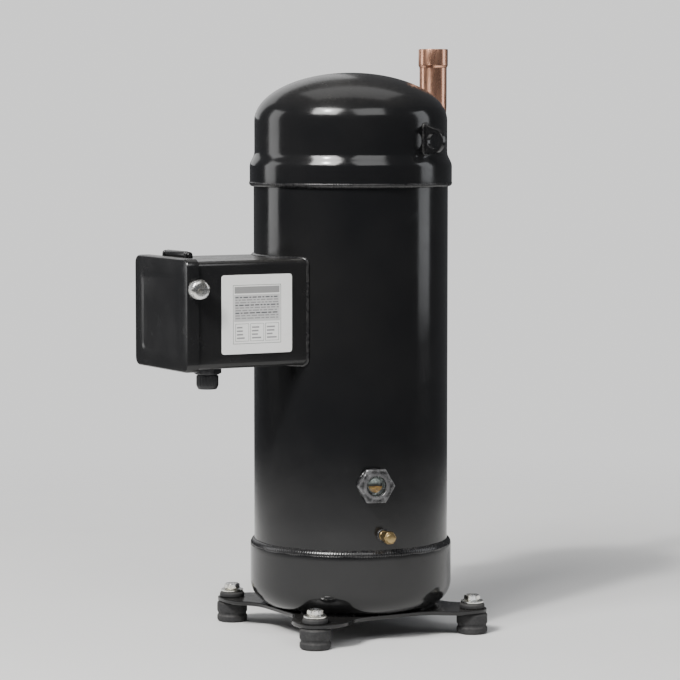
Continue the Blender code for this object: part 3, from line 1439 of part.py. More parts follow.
def build():
    clear_scene()
    finish = make_materials()
    root = make_empty("compressor", (AXIS_X, AXIS_Y, 0))
    crank = make_empty("crank_axis", (0, 0, 0), root)
    orbit = make_empty("orbit_axis", (0, ORBIT_RADIUS, 0), crank)
    oldham_swing = make_empty("oldham_swing_axis", (0, ORBIT_RADIUS / 2, 0), crank)
    oldham_keys = make_empty("oldham_key_axis", (0, -ORBIT_RADIUS / 2, 0), oldham_swing)
    seal = make_empty("floating_seal_axis", (0, 0, 0), root)
    valve = make_empty("check_valve_axis", (0, 0, 0), root)
    hinge = make_empty("cover_hinge_axis", (-HINGE_X, 0, HINGE_Z), root)
    cap_axis = make_empty("valve_cap_axis", (0, 0, OIL_VALVE_Z), root)

    make_mounting_plate(finish["shell_paint"], root)
    make_bottom_cap(finish["shell_paint"], root)
    make_centre_shell(finish["shell_paint"], root)
    make_top_cap(finish["shell_paint"], root)
    make_muffler_plate(finish["forged_steel"], root)
    make_lifting_lugs(finish["shell_paint"], root)
    make_mounting_hardware(finish["rubber"], finish["zinc_steel"], root)

    make_discharge_line(finish["copper"], root)
    make_suction_fitting(finish["copper"], root)
    make_sight_glass(finish["brass"], finish["glass"], root)
    make_oil_valve(finish["brass"], root, cap_axis)

    make_terminal_box(finish["shell_paint"], root)
    make_box_cover(finish["shell_paint"], finish["rubber"], finish["zinc_steel"], hinge)
    make_terminals(finish["zinc_steel"], finish["black_plastic"], root)
    make_cable_gland(finish["zinc_steel"], root)
    make_wiring_label(finish["label"], root)

    make_fixed_scroll(finish["cast_iron"], root)
    make_scroll_bolts(finish["zinc_steel"], root)
    make_orbiting_scroll(finish["cast_iron"], finish["bearing_bronze"], orbit)
    make_oldham_coupling(finish["forged_steel"], oldham_swing, oldham_keys)
    make_bearing_housing(finish["cast_iron"], finish["bearing_bronze"], root)
    make_floating_seal(finish["ptfe"], seal)
    make_check_valve(finish["forged_steel"], root, valve)

    make_crankshaft(finish["forged_steel"], crank)
    make_drive_bush(finish["bearing_bronze"], crank)
    make_rotor(finish["laminations"], crank)
    make_counterweights(finish["brass"], crank)
    make_stator(finish["laminations"], finish["winding_wire"], root)
    make_motor_leads(finish["rubber"], root)
    make_lower_bearing(finish["forged_steel"], finish["bearing_bronze"], root)


build()
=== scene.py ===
"""The looks of the scroll compressor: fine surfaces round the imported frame, their materials, and a studio.

Lengths are in metres, in the frame's own coordinates, but outlines given to profile() are in millimetres.
The vessel is turned about the crank axis, and a fitting in its wall is drawn along its own local Z, which
point_out lays along a radius.
"""

import json
import math
import random

import bmesh
import bpy
from mathutils import Matrix, Vector, noise


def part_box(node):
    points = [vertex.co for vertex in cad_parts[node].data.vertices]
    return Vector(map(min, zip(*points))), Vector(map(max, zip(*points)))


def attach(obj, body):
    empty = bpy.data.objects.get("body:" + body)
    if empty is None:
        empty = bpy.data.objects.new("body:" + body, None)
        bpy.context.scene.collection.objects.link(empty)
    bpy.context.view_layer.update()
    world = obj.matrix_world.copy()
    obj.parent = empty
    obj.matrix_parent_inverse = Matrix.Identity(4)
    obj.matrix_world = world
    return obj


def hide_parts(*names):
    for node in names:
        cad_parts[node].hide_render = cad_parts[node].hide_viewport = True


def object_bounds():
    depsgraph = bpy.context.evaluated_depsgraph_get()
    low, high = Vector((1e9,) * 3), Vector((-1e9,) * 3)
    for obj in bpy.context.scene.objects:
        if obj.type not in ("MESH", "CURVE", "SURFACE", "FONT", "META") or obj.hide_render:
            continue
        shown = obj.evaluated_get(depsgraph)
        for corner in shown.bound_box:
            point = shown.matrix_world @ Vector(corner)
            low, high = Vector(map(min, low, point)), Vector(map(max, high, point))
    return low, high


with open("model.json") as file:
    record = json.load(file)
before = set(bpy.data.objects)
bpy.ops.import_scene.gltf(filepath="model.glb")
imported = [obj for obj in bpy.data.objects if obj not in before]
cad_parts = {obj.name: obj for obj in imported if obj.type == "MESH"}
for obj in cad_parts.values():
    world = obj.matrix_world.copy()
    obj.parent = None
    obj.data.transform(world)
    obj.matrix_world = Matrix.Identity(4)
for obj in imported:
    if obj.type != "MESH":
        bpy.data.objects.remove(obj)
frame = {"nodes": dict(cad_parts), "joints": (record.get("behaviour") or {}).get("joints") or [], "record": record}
CAD_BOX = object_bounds()
NODES = frame["nodes"]
MM = 0.001
TURN = 2 * math.pi
QUARTER = math.pi / 2
SHARP_ANGLE = math.radians(32)
WELD_SHARP_ANGLE = math.radians(70)
UP = Vector((0, 0, 1))

# ------------------------------------------------------------------------------- places read from the frame


def low(node):
    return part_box(node)[0]


def high(node):
    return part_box(node)[1]


def middle(node):
    return (low(node) + high(node)) / 2


def flat(point):
    return point * Vector((1, 1, 0))


def radial(angle):
    return Vector((math.cos(angle), math.sin(angle), 0))


AXIS = flat(middle("centre_shell"))
SHELL_R = high("centre_shell").x - AXIS.x
CAP_R = high("bottom_cap").x - AXIS.x
TERMINAL_Z = middle("suction_fitting").z
SIGHT_GLASS_Z = middle("sight_glass_body").z
OIL_VALVE_Z = middle("oil_valve_body").z
DISCHARGE_Z = middle("discharge_fitting").z
BOX_Z = low("terminal_box").z
BOX_HALF_Y = high("terminal_box").y - AXIS.y
BOX_HALF_Z = TERMINAL_Z - BOX_Z
BOX_FRONT = AXIS.x - low("terminal_box").x
DOME_Z = high("top_cap").z
TOP_RIM_Z = low("top_cap").z
BOTTOM_Z = low("bottom_cap").z
BOTTOM_RIM_Z = high("bottom_cap").z
PLATE_LOW, PLATE_HIGH = low("mounting_plate").z, high("mounting_plate").z
HINGE = next(j for j in frame["joints"] if j["name"] == "terminal_cover_hinge")["pos_m"]

# Sizes that repeat the frame's
WALL = 4.5 * MM
GAP = 0.3 * MM
KNUCKLE = 30 * MM
JOGGLE = 10 * MM
SKIRT_R = SHELL_R - 1 * MM
JOGGLE_Z = high("muffler_plate").z + GAP
TANGENT_Z = JOGGLE_Z + 52 * MM
TERMINAL_R = 25.7 * MM
SUCTION_R = 25 * MM
SIGHT_GLASS_R = 16.7 * MM
OIL_VALVE_R = 6 * MM
SUCTION_ANGLE = QUARTER
SIGHT_GLASS_ANGLE = math.radians(-106)
OIL_VALVE_ANGLE = math.radians(-100)
DISCHARGE_ANGLE = math.radians(24)
LUG_ANGLE = math.radians(110)
LONG_SEAM_ANGLE = math.radians(125)
DISCHARGE_OUT = radial(DISCHARGE_ANGLE)
DISCHARGE_MOUTH = SHELL_R + 15 * MM

# The studio
FLOOR_R = 2.0
BACKDROP = (1.12, 1.12, 1.115)
ROOM_LIGHT = (0.1, 0.102, 0.108)
LIT_HEIGHT = 0.4
LENS, SENSOR = 150.0, 36.0
CAMERA_AZIMUTH, CAMERA_ELEVATION = -29, 4.5
HEIGHT_SHARE = 0.86  # of the picture's height that the object's box takes

# ------------------------------------------------------------------------------------------ mesh helpers


def smooth(mesh, angle=SHARP_ANGLE):
    mesh.shade_smooth()
    mesh.set_sharp_from_angle(angle=angle)


def new_object(name, bm):
    bmesh.ops.recalc_face_normals(bm, faces=bm.faces)
    mesh = bpy.data.meshes.new(name)
    bm.to_mesh(mesh)
    bm.free()
    made = bpy.data.objects.new(name, mesh)
    bpy.context.scene.collection.objects.link(made)
    return made


def finish_piece(name, bm, look, body="compressor", node=None, angle=SHARP_ANGLE):
    """Makes a piece of bm, smooth but for sharp corners, rides it on a body and hides what it replaces."""
    bmesh.ops.remove_doubles(bm, verts=bm.verts, dist=1e-7)
    piece = new_object(name, bm)
    piece.data.materials.append(LOOKS[look])
    smooth(piece.data, angle)
    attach(piece, body)
    if node:
        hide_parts(node)
    return piece


def loft(bm, loops, cyclic=False, matrix=None):
    """Joins each loop of points to the next. One point is a pole, and other open ends get a face."""
    matrix = matrix or Matrix.Identity(4)
    rows = [[bm.verts.new(matrix @ Vector(p)) for p in loop] for loop in loops]
    pairs = list(zip(rows, rows[1:]))
    if cyclic:
        pairs.append((rows[-1], rows[0]))
    for a, b in pairs:
        count = max(len(a), len(b))
        for i in range(count):
            j = (i + 1) % count
            corners = [a[i % len(a)], a[j % len(a)], b[j % len(b)], b[i % len(b)]]
            bm.faces.new(list(dict.fromkeys(corners)))
    if not cyclic:
        for row in (rows[0], rows[-1]):
            if len(row) > 2:
                bm.faces.new(row)


def lofted(name, loops, look, cyclic=False, matrix=None, **rest):
    bm = bmesh.new()
    loft(bm, loops, cyclic, matrix)
    return finish_piece(name, bm, look, **rest)


def turn(bm, outline, steps=96, matrix=None):
    """Turns (radius, height) points about Z. A third item gives a point's largest radius at an angle."""
    loops = []
    for radius, z, *limit in outline:
        if radius < 1e-7:
            loops.append([(0, 0, z)])
            continue
        loop = []
        for i in range(steps):
            a = TURN * i / steps
            r = min(radius, limit[0](a)) if limit else radius
            loop.append((r * math.cos(a), r * math.sin(a), z))
        loops.append(loop)
    ends_on_axis = outline[0][0] < 1e-7 and outline[-1][0] < 1e-7
    loft(bm, loops, cyclic=not ends_on_axis, matrix=matrix)


def turned(name, outline, look, steps=96, matrix=None, **rest):
    bm = bmesh.new()
    turn(bm, outline, steps, matrix)
    return finish_piece(name, bm, look, **rest)


def profile(base, *points):
    """Part of an outline, from (radius, height over base) in millimetres and any limit on the radius."""
    return [(r * MM, base + h * MM, *limit) for r, h, *limit in points]


def hexagon(flats):
    """The largest radius at an angle inside a hexagon."""
    return lambda a: flats / 2 / math.cos((a + math.pi / 6) % (math.pi / 3) - math.pi / 6)


def knurl(radius, depth, count):
    return lambda a: radius - depth * abs(math.sin(a * count / 2))


def rounded(points, radius, steps=4, closed=False):
    """An outline with each corner cut back by up to radius and bent round. One radius or a list."""
    result = []
    count = len(points)
    for i, p in enumerate(points):
        r = radius[i] if isinstance(radius, list) else radius
        if (not closed and i in (0, count - 1)) or r <= 0:
            result.append(tuple(p))
            continue
        corner = Vector(p)
        ends = []
        for q in (points[i - 1], points[(i + 1) % count]):
            away = Vector(q) - corner
            ends.append(corner + away.normalized() * min(r, away.length * 0.48))
        for k in range(steps + 1):
            t = k / steps
            result.append(tuple(ends[0] * (1 - t) ** 2 + corner * (2 * t * (1 - t)) + ends[1] * t**2))
    return result


def arc(radius, first, last, steps, centre=(0.0, 0.0)):
    angles = [first + (last - first) * i / steps for i in range(steps + 1)]
    return [(centre[0] + radius * math.cos(a), centre[1] + radius * math.sin(a)) for a in angles]


def rounded_rectangle(half_a, half_b, corner, steps=8, side=1):
    """Each corner is an arc of that many steps, and each straight is in side parts, whatever its length."""
    arcs = []
    for quarter, (sa, sb) in enumerate(((1, 1), (-1, 1), (-1, -1), (1, -1))):
        first, centre = quarter * QUARTER, (sa * (half_a - corner), sb * (half_b - corner))
        arcs.append(arc(corner, first, first + QUARTER, steps, centre))
    points = []
    for bend, following in zip(arcs, arcs[1:] + arcs[:1]):
        (a1, b1), (a2, b2) = bend[-1], following[0]
        points += bend
        points += [(a1 + (a2 - a1) * k / side, b1 + (b2 - b1) * k / side) for k in range(1, side)]
    return points


def ease(t):
    return (1 - math.cos(math.pi * t)) / 2


def about(point):
    return Matrix.Translation(point)


def turn_about(angle, axis):
    return Matrix.Rotation(angle, 4, axis)


def point_out(angle, height=0.0):
    """Lays local Z along the radius at that angle, from the crank axis, and local X straight down."""
    return about(AXIS + UP * height) @ turn_about(angle, "Z") @ turn_about(QUARTER, "Y")


def slab(bm, lowest, highest, edge, matrix):
    """A box with round upright edges and small chamfers at its two ends along Z."""
    a, b = Vector(lowest), Vector(highest)
    c, h = (a + b) / 2, (b - a) / 2
    corner = max(edge, 0.02 * MM)
    loops = []
    for inset, z in ((edge, a.z), (0, a.z + edge), (0, b.z - edge), (edge, b.z)):
        ring = rounded_rectangle(h.x - inset * 0.999, h.y - inset * 0.999, corner * 1.001, 3)
        loops.append([(c.x + x, c.y + y, z) for x, y in ring])
    loft(bm, loops, matrix=matrix)


def cut(piece, cutters):
    """Cuts holes into a piece and keeps the result as its mesh."""
    for cutter in cutters:
        modifier = piece.modifiers.new("cut", "BOOLEAN")
        modifier.object = cutter
        modifier.solver = "EXACT"
    graph = bpy.context.evaluated_depsgraph_get()
    mesh = bpy.data.meshes.new_from_object(piece.evaluated_get(graph))
    piece.modifiers.clear()
    piece.data = mesh
    smooth(mesh)
    for cutter in cutters:
        bpy.data.objects.remove(cutter)


def hole_cutter(radius, start, end, matrix, steps=64):
    bm = bmesh.new()
    turn(bm, [(0, start), (radius, start), (radius, end), (0, end)], steps, matrix)
    return new_object("cutter", bm)


def bead(name, path, outward, radius, pitch=3.2 * MM, ripple=0.16, squash=0.8, closed=True):
    """A weld along a path: overlapping crescents about pitch apart, on a body a little uneven in width.

    outward(point) is roughly the way that the bead bulges, at a right angle to the path. An open one tapers.
    """
    count, sides = len(path), 10
    lengths = [(path[(i + 1) % count] - path[i]).length for i in range(count)]
    if not closed:
        lengths[-1] = 0.0
    total = sum(lengths)
    waves = max(8, round(total / pitch))
    loops, travelled = [], 0.0
    for i, p in enumerate(path):
        if closed:
            along = (path[(i + 1) % count] - path[i - 1]).normalized()
        else:
            along = (path[min(i + 1, count - 1)] - path[max(i - 1, 0)]).normalized()
        up = outward(p)
        up = (up - along * up.dot(along)).normalized()
        across = along.cross(up)
        width = 1 + 0.12 * noise.noise(p * 45)
        if not closed:
            width *= min(1.0, 0.35 + 12 * min(i, count - 1 - i) / count)
        loop = []
        for k in range(sides):
            b = TURN * k / sides
            phase = travelled / total * waves + 0.22 * math.cos(b)
            r = radius * width * (1 + ripple * (abs(math.cos(math.pi * phase)) - 0.5))
            bulge = across * (r * math.cos(b)) + up * (squash * r * math.sin(b))
            loop.append(p + along * (0.1 * radius) + bulge)
        loops.append(loop)
        travelled += lengths[i]
    return lofted(name, loops, "weld", cyclic=closed, angle=WELD_SHARP_ANGLE)


def ring_bead(name, radius, z, size, tilt, steps=720, **rest):
    """A weld round the vessel. tilt is the bulge's slope above the horizon."""
    path = [AXIS + radial(TURN * i / steps) * radius + UP * z for i in range(steps)]

    def outward(p):
        return flat(p - AXIS).normalized() * math.cos(tilt) + UP * math.sin(tilt)

    bead(name, path, outward, size, **rest)


def port_bead(name, matrix, radius, wall_r, size, steps=120):
    """A weld round a fitting of that radius where it meets an upright wall of radius wall_r."""
    path = []
    for i in range(steps):
        a = TURN * i / steps
        x, y = radius * math.cos(a), radius * math.sin(a)
        path.append(matrix @ Vector((x, y, math.sqrt(wall_r**2 - y**2))))
    centre = matrix @ Vector((0, 0, wall_r))
    out = (matrix.to_3x3() @ UP).normalized()
    bead(name, path, lambda p: out + (p - centre).normalized() * 0.6, size)


def tube_rings(path, radii, side, steps):
    """Rings along a flat path, whose plane is at a right angle to side, with a radius at each point."""
    loops = []
    for i, p in enumerate(path):
        along = (path[min(i + 1, len(path) - 1)] - path[max(i - 1, 0)]).normalized()
        across = side.cross(along)
        angles = [TURN * k / steps for k in range(steps)]
        loops.append([p + (side * math.cos(a) + across * math.sin(a)) * radii[i] for a in angles])
    return loops


# -------------------------------------------------------------------------------------------- materials


class Surface:
    """A Principled material with short ways to add texture nodes, in the object's own coordinates."""

    def __init__(self, name, colour, roughness, metallic=0.0, **sockets):
        self.material = bpy.data.materials.new(name)
        self.material.use_nodes = True
        self.tree = self.material.node_tree
        self.shader = self.tree.nodes["Principled BSDF"]
        self.coordinates = self.node("ShaderNodeTexCoord")
        self.shader.inputs["Base Color"].default_value = (*colour, 1)
        self.shader.inputs["Roughness"].default_value = roughness
        self.shader.inputs["Metallic"].default_value = metallic
        for socket, value in sockets.items():
            self.shader.inputs[socket.replace("_", " ")].default_value = value
        self.bumps = None

    def node(self, kind, values=None, **settings):
        made = self.tree.nodes.new(kind)
        for key, value in settings.items():
            setattr(made, key, value)
        for key, value in (values or {}).items():
            self.put(made.inputs[key], value)
        return made

    def put(self, socket, value):
        if isinstance(value, bpy.types.NodeSocket):
            self.tree.links.new(value, socket)
        else:
            socket.default_value = value

    def place(self, stretch=(1, 1, 1), shift=(0, 0, 0)):
        values = {"Vector": self.coordinates.outputs["Object"], "Scale": stretch, "Location": shift}
        return self.node("ShaderNodeMapping", values).outputs[0]

    def noise(self, scale, detail=3.0, rough=0.55, distortion=0.0, vector=None):
        values = {
            "Vector": vector or self.coordinates.outputs["Object"],
            "Scale": scale,
            "Detail": detail,
            "Roughness": rough,
            "Distortion": distortion,
        }
        return self.node("ShaderNodeTexNoise", values).outputs["Fac"]

    def wave(self, scale, direction="Z", distortion=0.0, profile="SIN", kind="BANDS", vector=None):
        values = {
            "Vector": vector or self.coordinates.outputs["Object"],
            "Scale": scale,
            "Distortion": distortion,
            "Detail": 1.0,
        }
        settings = {"wave_type": kind, "wave_profile": profile}
        settings["bands_direction" if kind == "BANDS" else "rings_direction"] = direction
        return self.node("ShaderNodeTexWave", values, **settings).outputs["Fac"]

    def spread(self, value, start, end, first=0.0, last=1.0):
        """Maps start to end onto first to last, held at both ends."""
        values = {"Value": value, "From Min": start, "From Max": end, "To Min": first, "To Max": last}
        return self.node("ShaderNodeMapRange", values).outputs["Result"]

    def cloud(self, texture, start, end, first=0.0, last=1.0):
        """A noise texture, given by its arguments, mapped as spread does."""
        return self.spread(self.noise(*texture), start, end, first, last)

    def math(self, operation, a, b=0.0):
        return self.node("ShaderNodeMath", {0: a, 1: b}, operation=operation).outputs[0]

    def mix(self, factor, a, b):
        made = self.node("ShaderNodeMix", data_type="RGBA")
        for index, value in ((0, factor), (6, a), (7, b)):
            if isinstance(value, tuple) and len(value) == 3:
                value = (*value, 1)
            self.put(made.inputs[index], value)
        return made.outputs[2]

    def upward(self, start=0.3, end=0.95):
        """How far a face looks up, in the piece's own rest position."""
        split = self.node("ShaderNodeSeparateXYZ", {0: self.coordinates.outputs["Normal"]})
        return self.spread(split.outputs["Z"], start, end)

    def near(self, point, reach):
        """One at a point, falling to nothing at reach from it."""
        values = {0: self.coordinates.outputs["Object"], 1: tuple(point)}
        far = self.node("ShaderNodeVectorMath", values, operation="DISTANCE").outputs["Value"]
        return self.spread(far, 0.0, reach, 1.0, 0.0)

    def edges(self, start=0.52, end=0.62):
        pointiness = self.node("ShaderNodeNewGeometry").outputs["Pointiness"]
        return self.spread(pointiness, start, end)

    def bump(self, height, depth, strength=1.0):
        """depth is the height in metres that a value of one stands for. Calls add up."""
        values = {"Height": height, "Distance": depth, "Strength": strength}
        if self.bumps:
            values["Normal"] = self.bumps
        self.bumps = self.node("ShaderNodeBump", values).outputs[0]
        self.put(self.shader.inputs["Normal"], self.bumps)

    def colour(self, value):
        self.put(self.shader.inputs["Base Color"], value)

    def roughness(self, value):
        self.put(self.shader.inputs["Roughness"], value)


DUST = (0.17, 0.16, 0.145)


def scaled(colour, share):
    return tuple(share * c for c in colour)


def enamel(name, base=(0.0052, 0.0054, 0.006), dusty=0.28, gloss=0.13, wear=0.5, bare=(0.12, 0.115, 0.11)):
    """Glossy black enamel: orange peel, a little sag, settled dust, and thin wear on a fine mesh's edges."""
    s = Surface(name, base, gloss, 0.0)
    up = s.upward(0.45, 1.0)
    patches = s.cloud((16, 6, 0.65), 0.42, 0.75)
    speckle = s.cloud((420, 2), 0.5, 0.72)
    film = s.cloud((5, 4), 0.35, 0.8, 0.0, 0.05)
    dust = s.math("MULTIPLY", s.math("MULTIPLY", up, s.math("ADD", patches, 0.3)), dusty * 0.35)
    dust = s.math("ADD", dust, s.math("MULTIPLY", s.math("MULTIPLY", speckle, up), dusty * 0.25))
    dust = s.math("ADD", dust, film)
    shade = s.mix(dust, s.mix(s.cloud((3.5, 3), 0.3, 0.7), base, scaled(base, 1.35)), DUST)
    if wear:
        worn = s.math("MULTIPLY", s.edges(0.56, 0.7), s.cloud((130, 3), 0.5, 0.62, 0.0, wear))
        shade = s.mix(worn, shade, bare)
    s.colour(shade)
    scuffs = s.cloud((60, 5, 0.7, 1.5), 0.58, 0.74, 0.0, 0.09)
    rough = s.cloud((24, 4), 0.3, 0.7, gloss * 0.8, gloss * 1.25)
    s.roughness(s.math("ADD", s.math("ADD", rough, scuffs), s.math("MULTIPLY", dust, 0.9)))
    s.bump(s.noise(7, 2), 1.1 * MM, 0.45)
    s.bump(s.noise(28, 2, 0.5), 0.22 * MM, 0.35)
    s.bump(s.noise(520, 2, 0.4), 0.022 * MM, 0.5)
    return s.material


def worn_paint_with_painted_sheen(name):
    """Thin black paint on a machined fitting, grey in patches and on its edges: part spanner wear, part painted
    sheen standing in for the fitting's dim grey highlight.
    """
    s = Surface(name, (0.03, 0.03, 0.031), 0.3, 0.35)
    wear_and_sheen_patches = s.cloud((110, 5, 0.65, 0.6), 0.42, 0.66, 0.0, 0.8)
    edge = s.spread(s.node("ShaderNodeNewGeometry").outputs["Pointiness"], 0.51, 0.58)
    # Grey patches and edges: part wear, part painted sheen.
    s.colour(s.mix(s.math("MAXIMUM", wear_and_sheen_patches, edge), (0.02, 0.02, 0.021), (0.2, 0.2, 0.205)))
    s.roughness(s.cloud((260, 3), 0.3, 0.7, 0.2, 0.36))
    s.bump(s.noise(700, 3), 0.03 * MM, 0.5)
    return s.material


def weld_steel(name):
    """A painted weld: the black enamel over ripples, thinner and greyer on their tops."""
    s = Surface(name, (0.02, 0.02, 0.021), 0.34)
    tops = s.math("MULTIPLY", s.edges(0.51, 0.6), s.cloud((240, 4), 0.4, 0.7))
    s.colour(s.mix(tops, (0.0105, 0.0105, 0.0115), (0.07, 0.068, 0.066)))
    s.roughness(s.cloud((180, 3), 0.3, 0.7, 0.14, 0.3))
    s.bump(s.noise(900, 3), 0.06 * MM, 0.4)
    return s.material


def copper(name, joints=(), bright=1.0):
    """Drawn copper tube with handling marks, patches of oxide, and heat tint round its brazed joints."""
    s = Surface(name, (0.8, 0.42, 0.28), 0.28, 1.0)
    clean = scaled((0.86, 0.47, 0.32), bright)
    oxide = s.cloud((22, 6, 0.62, 0.6), 0.5, 0.78, 0.0, 0.5)
    shade = s.mix(oxide, clean, (0.52, 0.235, 0.135))
    stains = s.cloud((75, 4, 0.6, 0.8), 0.62, 0.76, 0.0, 0.45)
    shade = s.mix(stains, shade, (0.3, 0.14, 0.085))
    tint = None
    for point, reach in joints:
        ragged = s.math("ADD", s.near(point, reach), s.cloud((38, 3), 0.3, 0.7, -0.2, 0.2))
        tint = s.math("MAXIMUM", tint, ragged) if tint else ragged
    rough = s.cloud((90, 4, 0.6, 0.0, s.place((1, 1, 0.2))), 0.3, 0.75, 0.2, 0.42)
    if tint:
        shade = s.mix(s.spread(tint, 0.25, 0.5), shade, (0.5, 0.17, 0.12))
        shade = s.mix(s.spread(tint, 0.42, 0.62), shade, (0.2, 0.12, 0.13))
        shade = s.mix(s.spread(tint, 0.62, 0.9), shade, (0.055, 0.04, 0.035))
        rough = s.math("ADD", rough, s.spread(tint, 0.4, 0.9, 0.0, 0.3))
    s.colour(shade)
    s.roughness(rough)
    s.bump(s.noise(340, 3), 0.05 * MM, 0.4)
    return s.material


def plate_metal(name, first, second, rough, grain=(1, 1, 1), depth=0.03, dirt=0.35):
    """Plated or machined metal: two tones in soft patches, fine grain, and patches of grime."""
    s = Surface(name, first, rough, 1.0)
    shade = s.mix(s.cloud((70, 3, 0.6, 0.5), 0.35, 0.65), first, second)
    grime = s.cloud((170, 5, 0.65), 0.52, 0.72, 0.0, dirt)
    s.colour(s.mix(grime, shade, scaled(first, 0.32)))
    fine = s.noise(800, 3, 0.6, 0.0, s.place(grain))
    rough = s.spread(fine, 0.3, 0.7, rough * 0.75, rough * 1.3)
    s.roughness(s.math("ADD", rough, s.math("MULTIPLY", grime, 0.5)))
    s.bump(fine, depth * MM, 0.5)
    return s.material


def rubber(name, base=(0.017, 0.017, 0.018)):
    s = Surface(name, base, 0.72)
    dust = s.math("MULTIPLY", s.upward(0.1, 0.9), s.cloud((120, 5, 0.7), 0.35, 0.7, 0.1, 0.75))
    bloom = s.cloud((45, 4), 0.45, 0.75, 0.0, 0.16)
    s.colour(s.mix(s.math("ADD", s.math("MULTIPLY", dust, 0.55), bloom), base, (0.13, 0.125, 0.118)))
    s.roughness(s.cloud((300, 3), 0.3, 0.7, 0.6, 0.86))
    s.bump(s.noise(1100, 3), 0.05 * MM, 0.6)
    s.bump(s.noise(90, 2), 0.25 * MM, 0.3)
    return s.material


def paper(name, base, dirty=0.2):
    """Printed film: faint fibres, a little yellowing and smudges."""
    s = Surface(name, base, 0.42)
    yellow = s.cloud((12, 3), 0.4, 0.75, 0.0, 0.3)
    shade = s.mix(yellow, base, tuple(c * k for c, k in zip(base, (0.97, 0.94, 0.86))))
    smudge = s.cloud((55, 5, 0.65, 0.8), 0.56, 0.75, 0.0, dirty)
    s.colour(s.mix(smudge, shade, scaled(base, 0.55)))
    s.roughness(s.cloud((130, 3), 0.3, 0.7, 0.32, 0.52))
    s.bump(s.noise(35, 2), 0.25 * MM, 0.25)
    s.bump(s.noise(900, 2), 0.02 * MM, 0.4)
    return s.material


def plastic(name, base, rough=0.42, grain=700):
    s = Surface(name, base, rough)
    dust = s.math("MULTIPLY", s.upward(0.3, 1.0), s.cloud((90, 5, 0.7), 0.4, 0.75, 0.0, 0.35))
    s.colour(s.mix(dust, s.mix(s.cloud((40, 3), 0.35, 0.7), base, scaled(base, 1.5)), DUST))
    s.roughness(s.cloud((200, 3), 0.3, 0.7, rough * 0.85, rough * 1.2))
    s.bump(s.noise(grain, 2), 0.05 * MM, 0.45)
    return s.material


def cast_iron(name, base=(0.21, 0.21, 0.215)):
    s = Surface(name, base, 0.5, 0.85)
    sand = s.noise(330, 4, 0.7)
    s.colour(s.mix(s.cloud((28, 5), 0.35, 0.7), base, scaled(base, 0.62)))
    s.roughness(s.spread(sand, 0.3, 0.7, 0.38, 0.66))
    s.bump(sand, 0.16 * MM, 0.6)
    return s.material


def ground_steel(name, base=(0.47, 0.47, 0.48)):
    """Turned and ground steel, with rings left by the tool."""
    s = Surface(name, base, 0.28, 1.0)
    rings = s.wave(900, "Z", 2.0, vector=s.place((1, 1, 1), tuple(-AXIS)))
    s.colour(s.mix(s.cloud((30, 4), 0.35, 0.7), base, scaled(base, 0.75)))
    s.roughness(s.cloud((300, 4, 0.6, 0.0, s.place((1, 1, 6))), 0.3, 0.7, 0.2, 0.38))
    s.bump(rings, 0.01 * MM, 0.5)
    return s.material


def laminations(name):
    """The edges of stacked sheets half a millimetre thick."""
    s = Surface(name, (0.26, 0.27, 0.29), 0.45, 0.85)
    sheets = s.wave(math.pi / (0.5 * MM) / 10, "Z", 0.3)
    blue = s.mix(s.cloud((24, 4), 0.4, 0.7), (0.27, 0.28, 0.3), (0.17, 0.19, 0.24))
    s.colour(s.mix(s.spread(sheets, 0.0, 0.35, 0.55, 0.0), blue, (0.05, 0.05, 0.055)))
    s.roughness(s.cloud((260, 3), 0.3, 0.7, 0.36, 0.55))
    s.bump(sheets, 0.06 * MM, 0.6)
    return s.material


def winding_wire(name):
    """Enamelled wire in varnish: strands a millimetre thick, bent a little."""
    s = Surface(name, (0.46, 0.17, 0.065), 0.3, 0.65)
    strands = s.wave(310, "DIAGONAL", 3.5)
    s.colour(s.mix(s.spread(strands, 0.1, 0.6), (0.13, 0.045, 0.02), (0.55, 0.22, 0.085)))
    s.roughness(s.cloud((60, 3), 0.3, 0.7, 0.2, 0.42))
    s.bump(strands, 0.5 * MM, 0.7)
    return s.material


def glass(name):
    s = Surface(name, (0.86, 0.93, 0.9), 0.03, 0.0, IOR=1.5, Transmission_Weight=1.0)
    s.roughness(s.cloud((110, 4, 0.6, 0.6), 0.45, 0.75, 0.015, 0.11))
    return s.material


def oil(name):
    s = Surface(name, (0.5, 0.24, 0.04), 0.12, 0.0)
    s.colour(s.mix(s.cloud((200, 3), 0.35, 0.7), (0.42, 0.19, 0.03), (0.6, 0.31, 0.06)))
    s.roughness(s.cloud((80, 2), 0.3, 0.7, 0.08, 0.2))
    return s.material


def fabric_sleeve(name):
    s = Surface(name, (0.04, 0.04, 0.045), 0.7)
    weave = s.wave(420, "DIAGONAL", 0.6)
    s.colour(s.mix(weave, (0.025, 0.025, 0.03), (0.075, 0.075, 0.08)))
    s.roughness(s.spread(weave, 0.0, 1.0, 0.6, 0.85))
    s.bump(weave, 0.2 * MM, 0.6)
    return s.material


def concrete(name):
    """The pale studio floor, which fades into the backdrop all round."""
    s = Surface(name, (0.78, 0.78, 0.775), 0.9, Specular_IOR_Level=0.1)
    s.colour(s.mix(s.cloud((1.6, 5), 0.3, 0.7), (0.79, 0.79, 0.785), (0.765, 0.765, 0.76)))
    s.roughness(s.cloud((9, 4), 0.3, 0.7, 0.85, 1.0))
    s.bump(s.noise(160, 4), 0.15 * MM, 0.2)
    fade = s.spread(s.near(AXIS, FLOOR_R - 0.05), 0.0, 0.55)
    s.put(s.shader.inputs["Alpha"], s.math("POWER", fade, 1.6))
    return s.material


LINE_JOINT = AXIS + DISCHARGE_OUT * DISCHARGE_MOUTH + UP * DISCHARGE_Z
SUCTION_ROOT = AXIS + radial(SUCTION_ANGLE) * SHELL_R + UP * TERMINAL_Z
BOX_BLACK = (0.0062, 0.0063, 0.0068)
ZINC = (0.82, 0.83, 0.84)

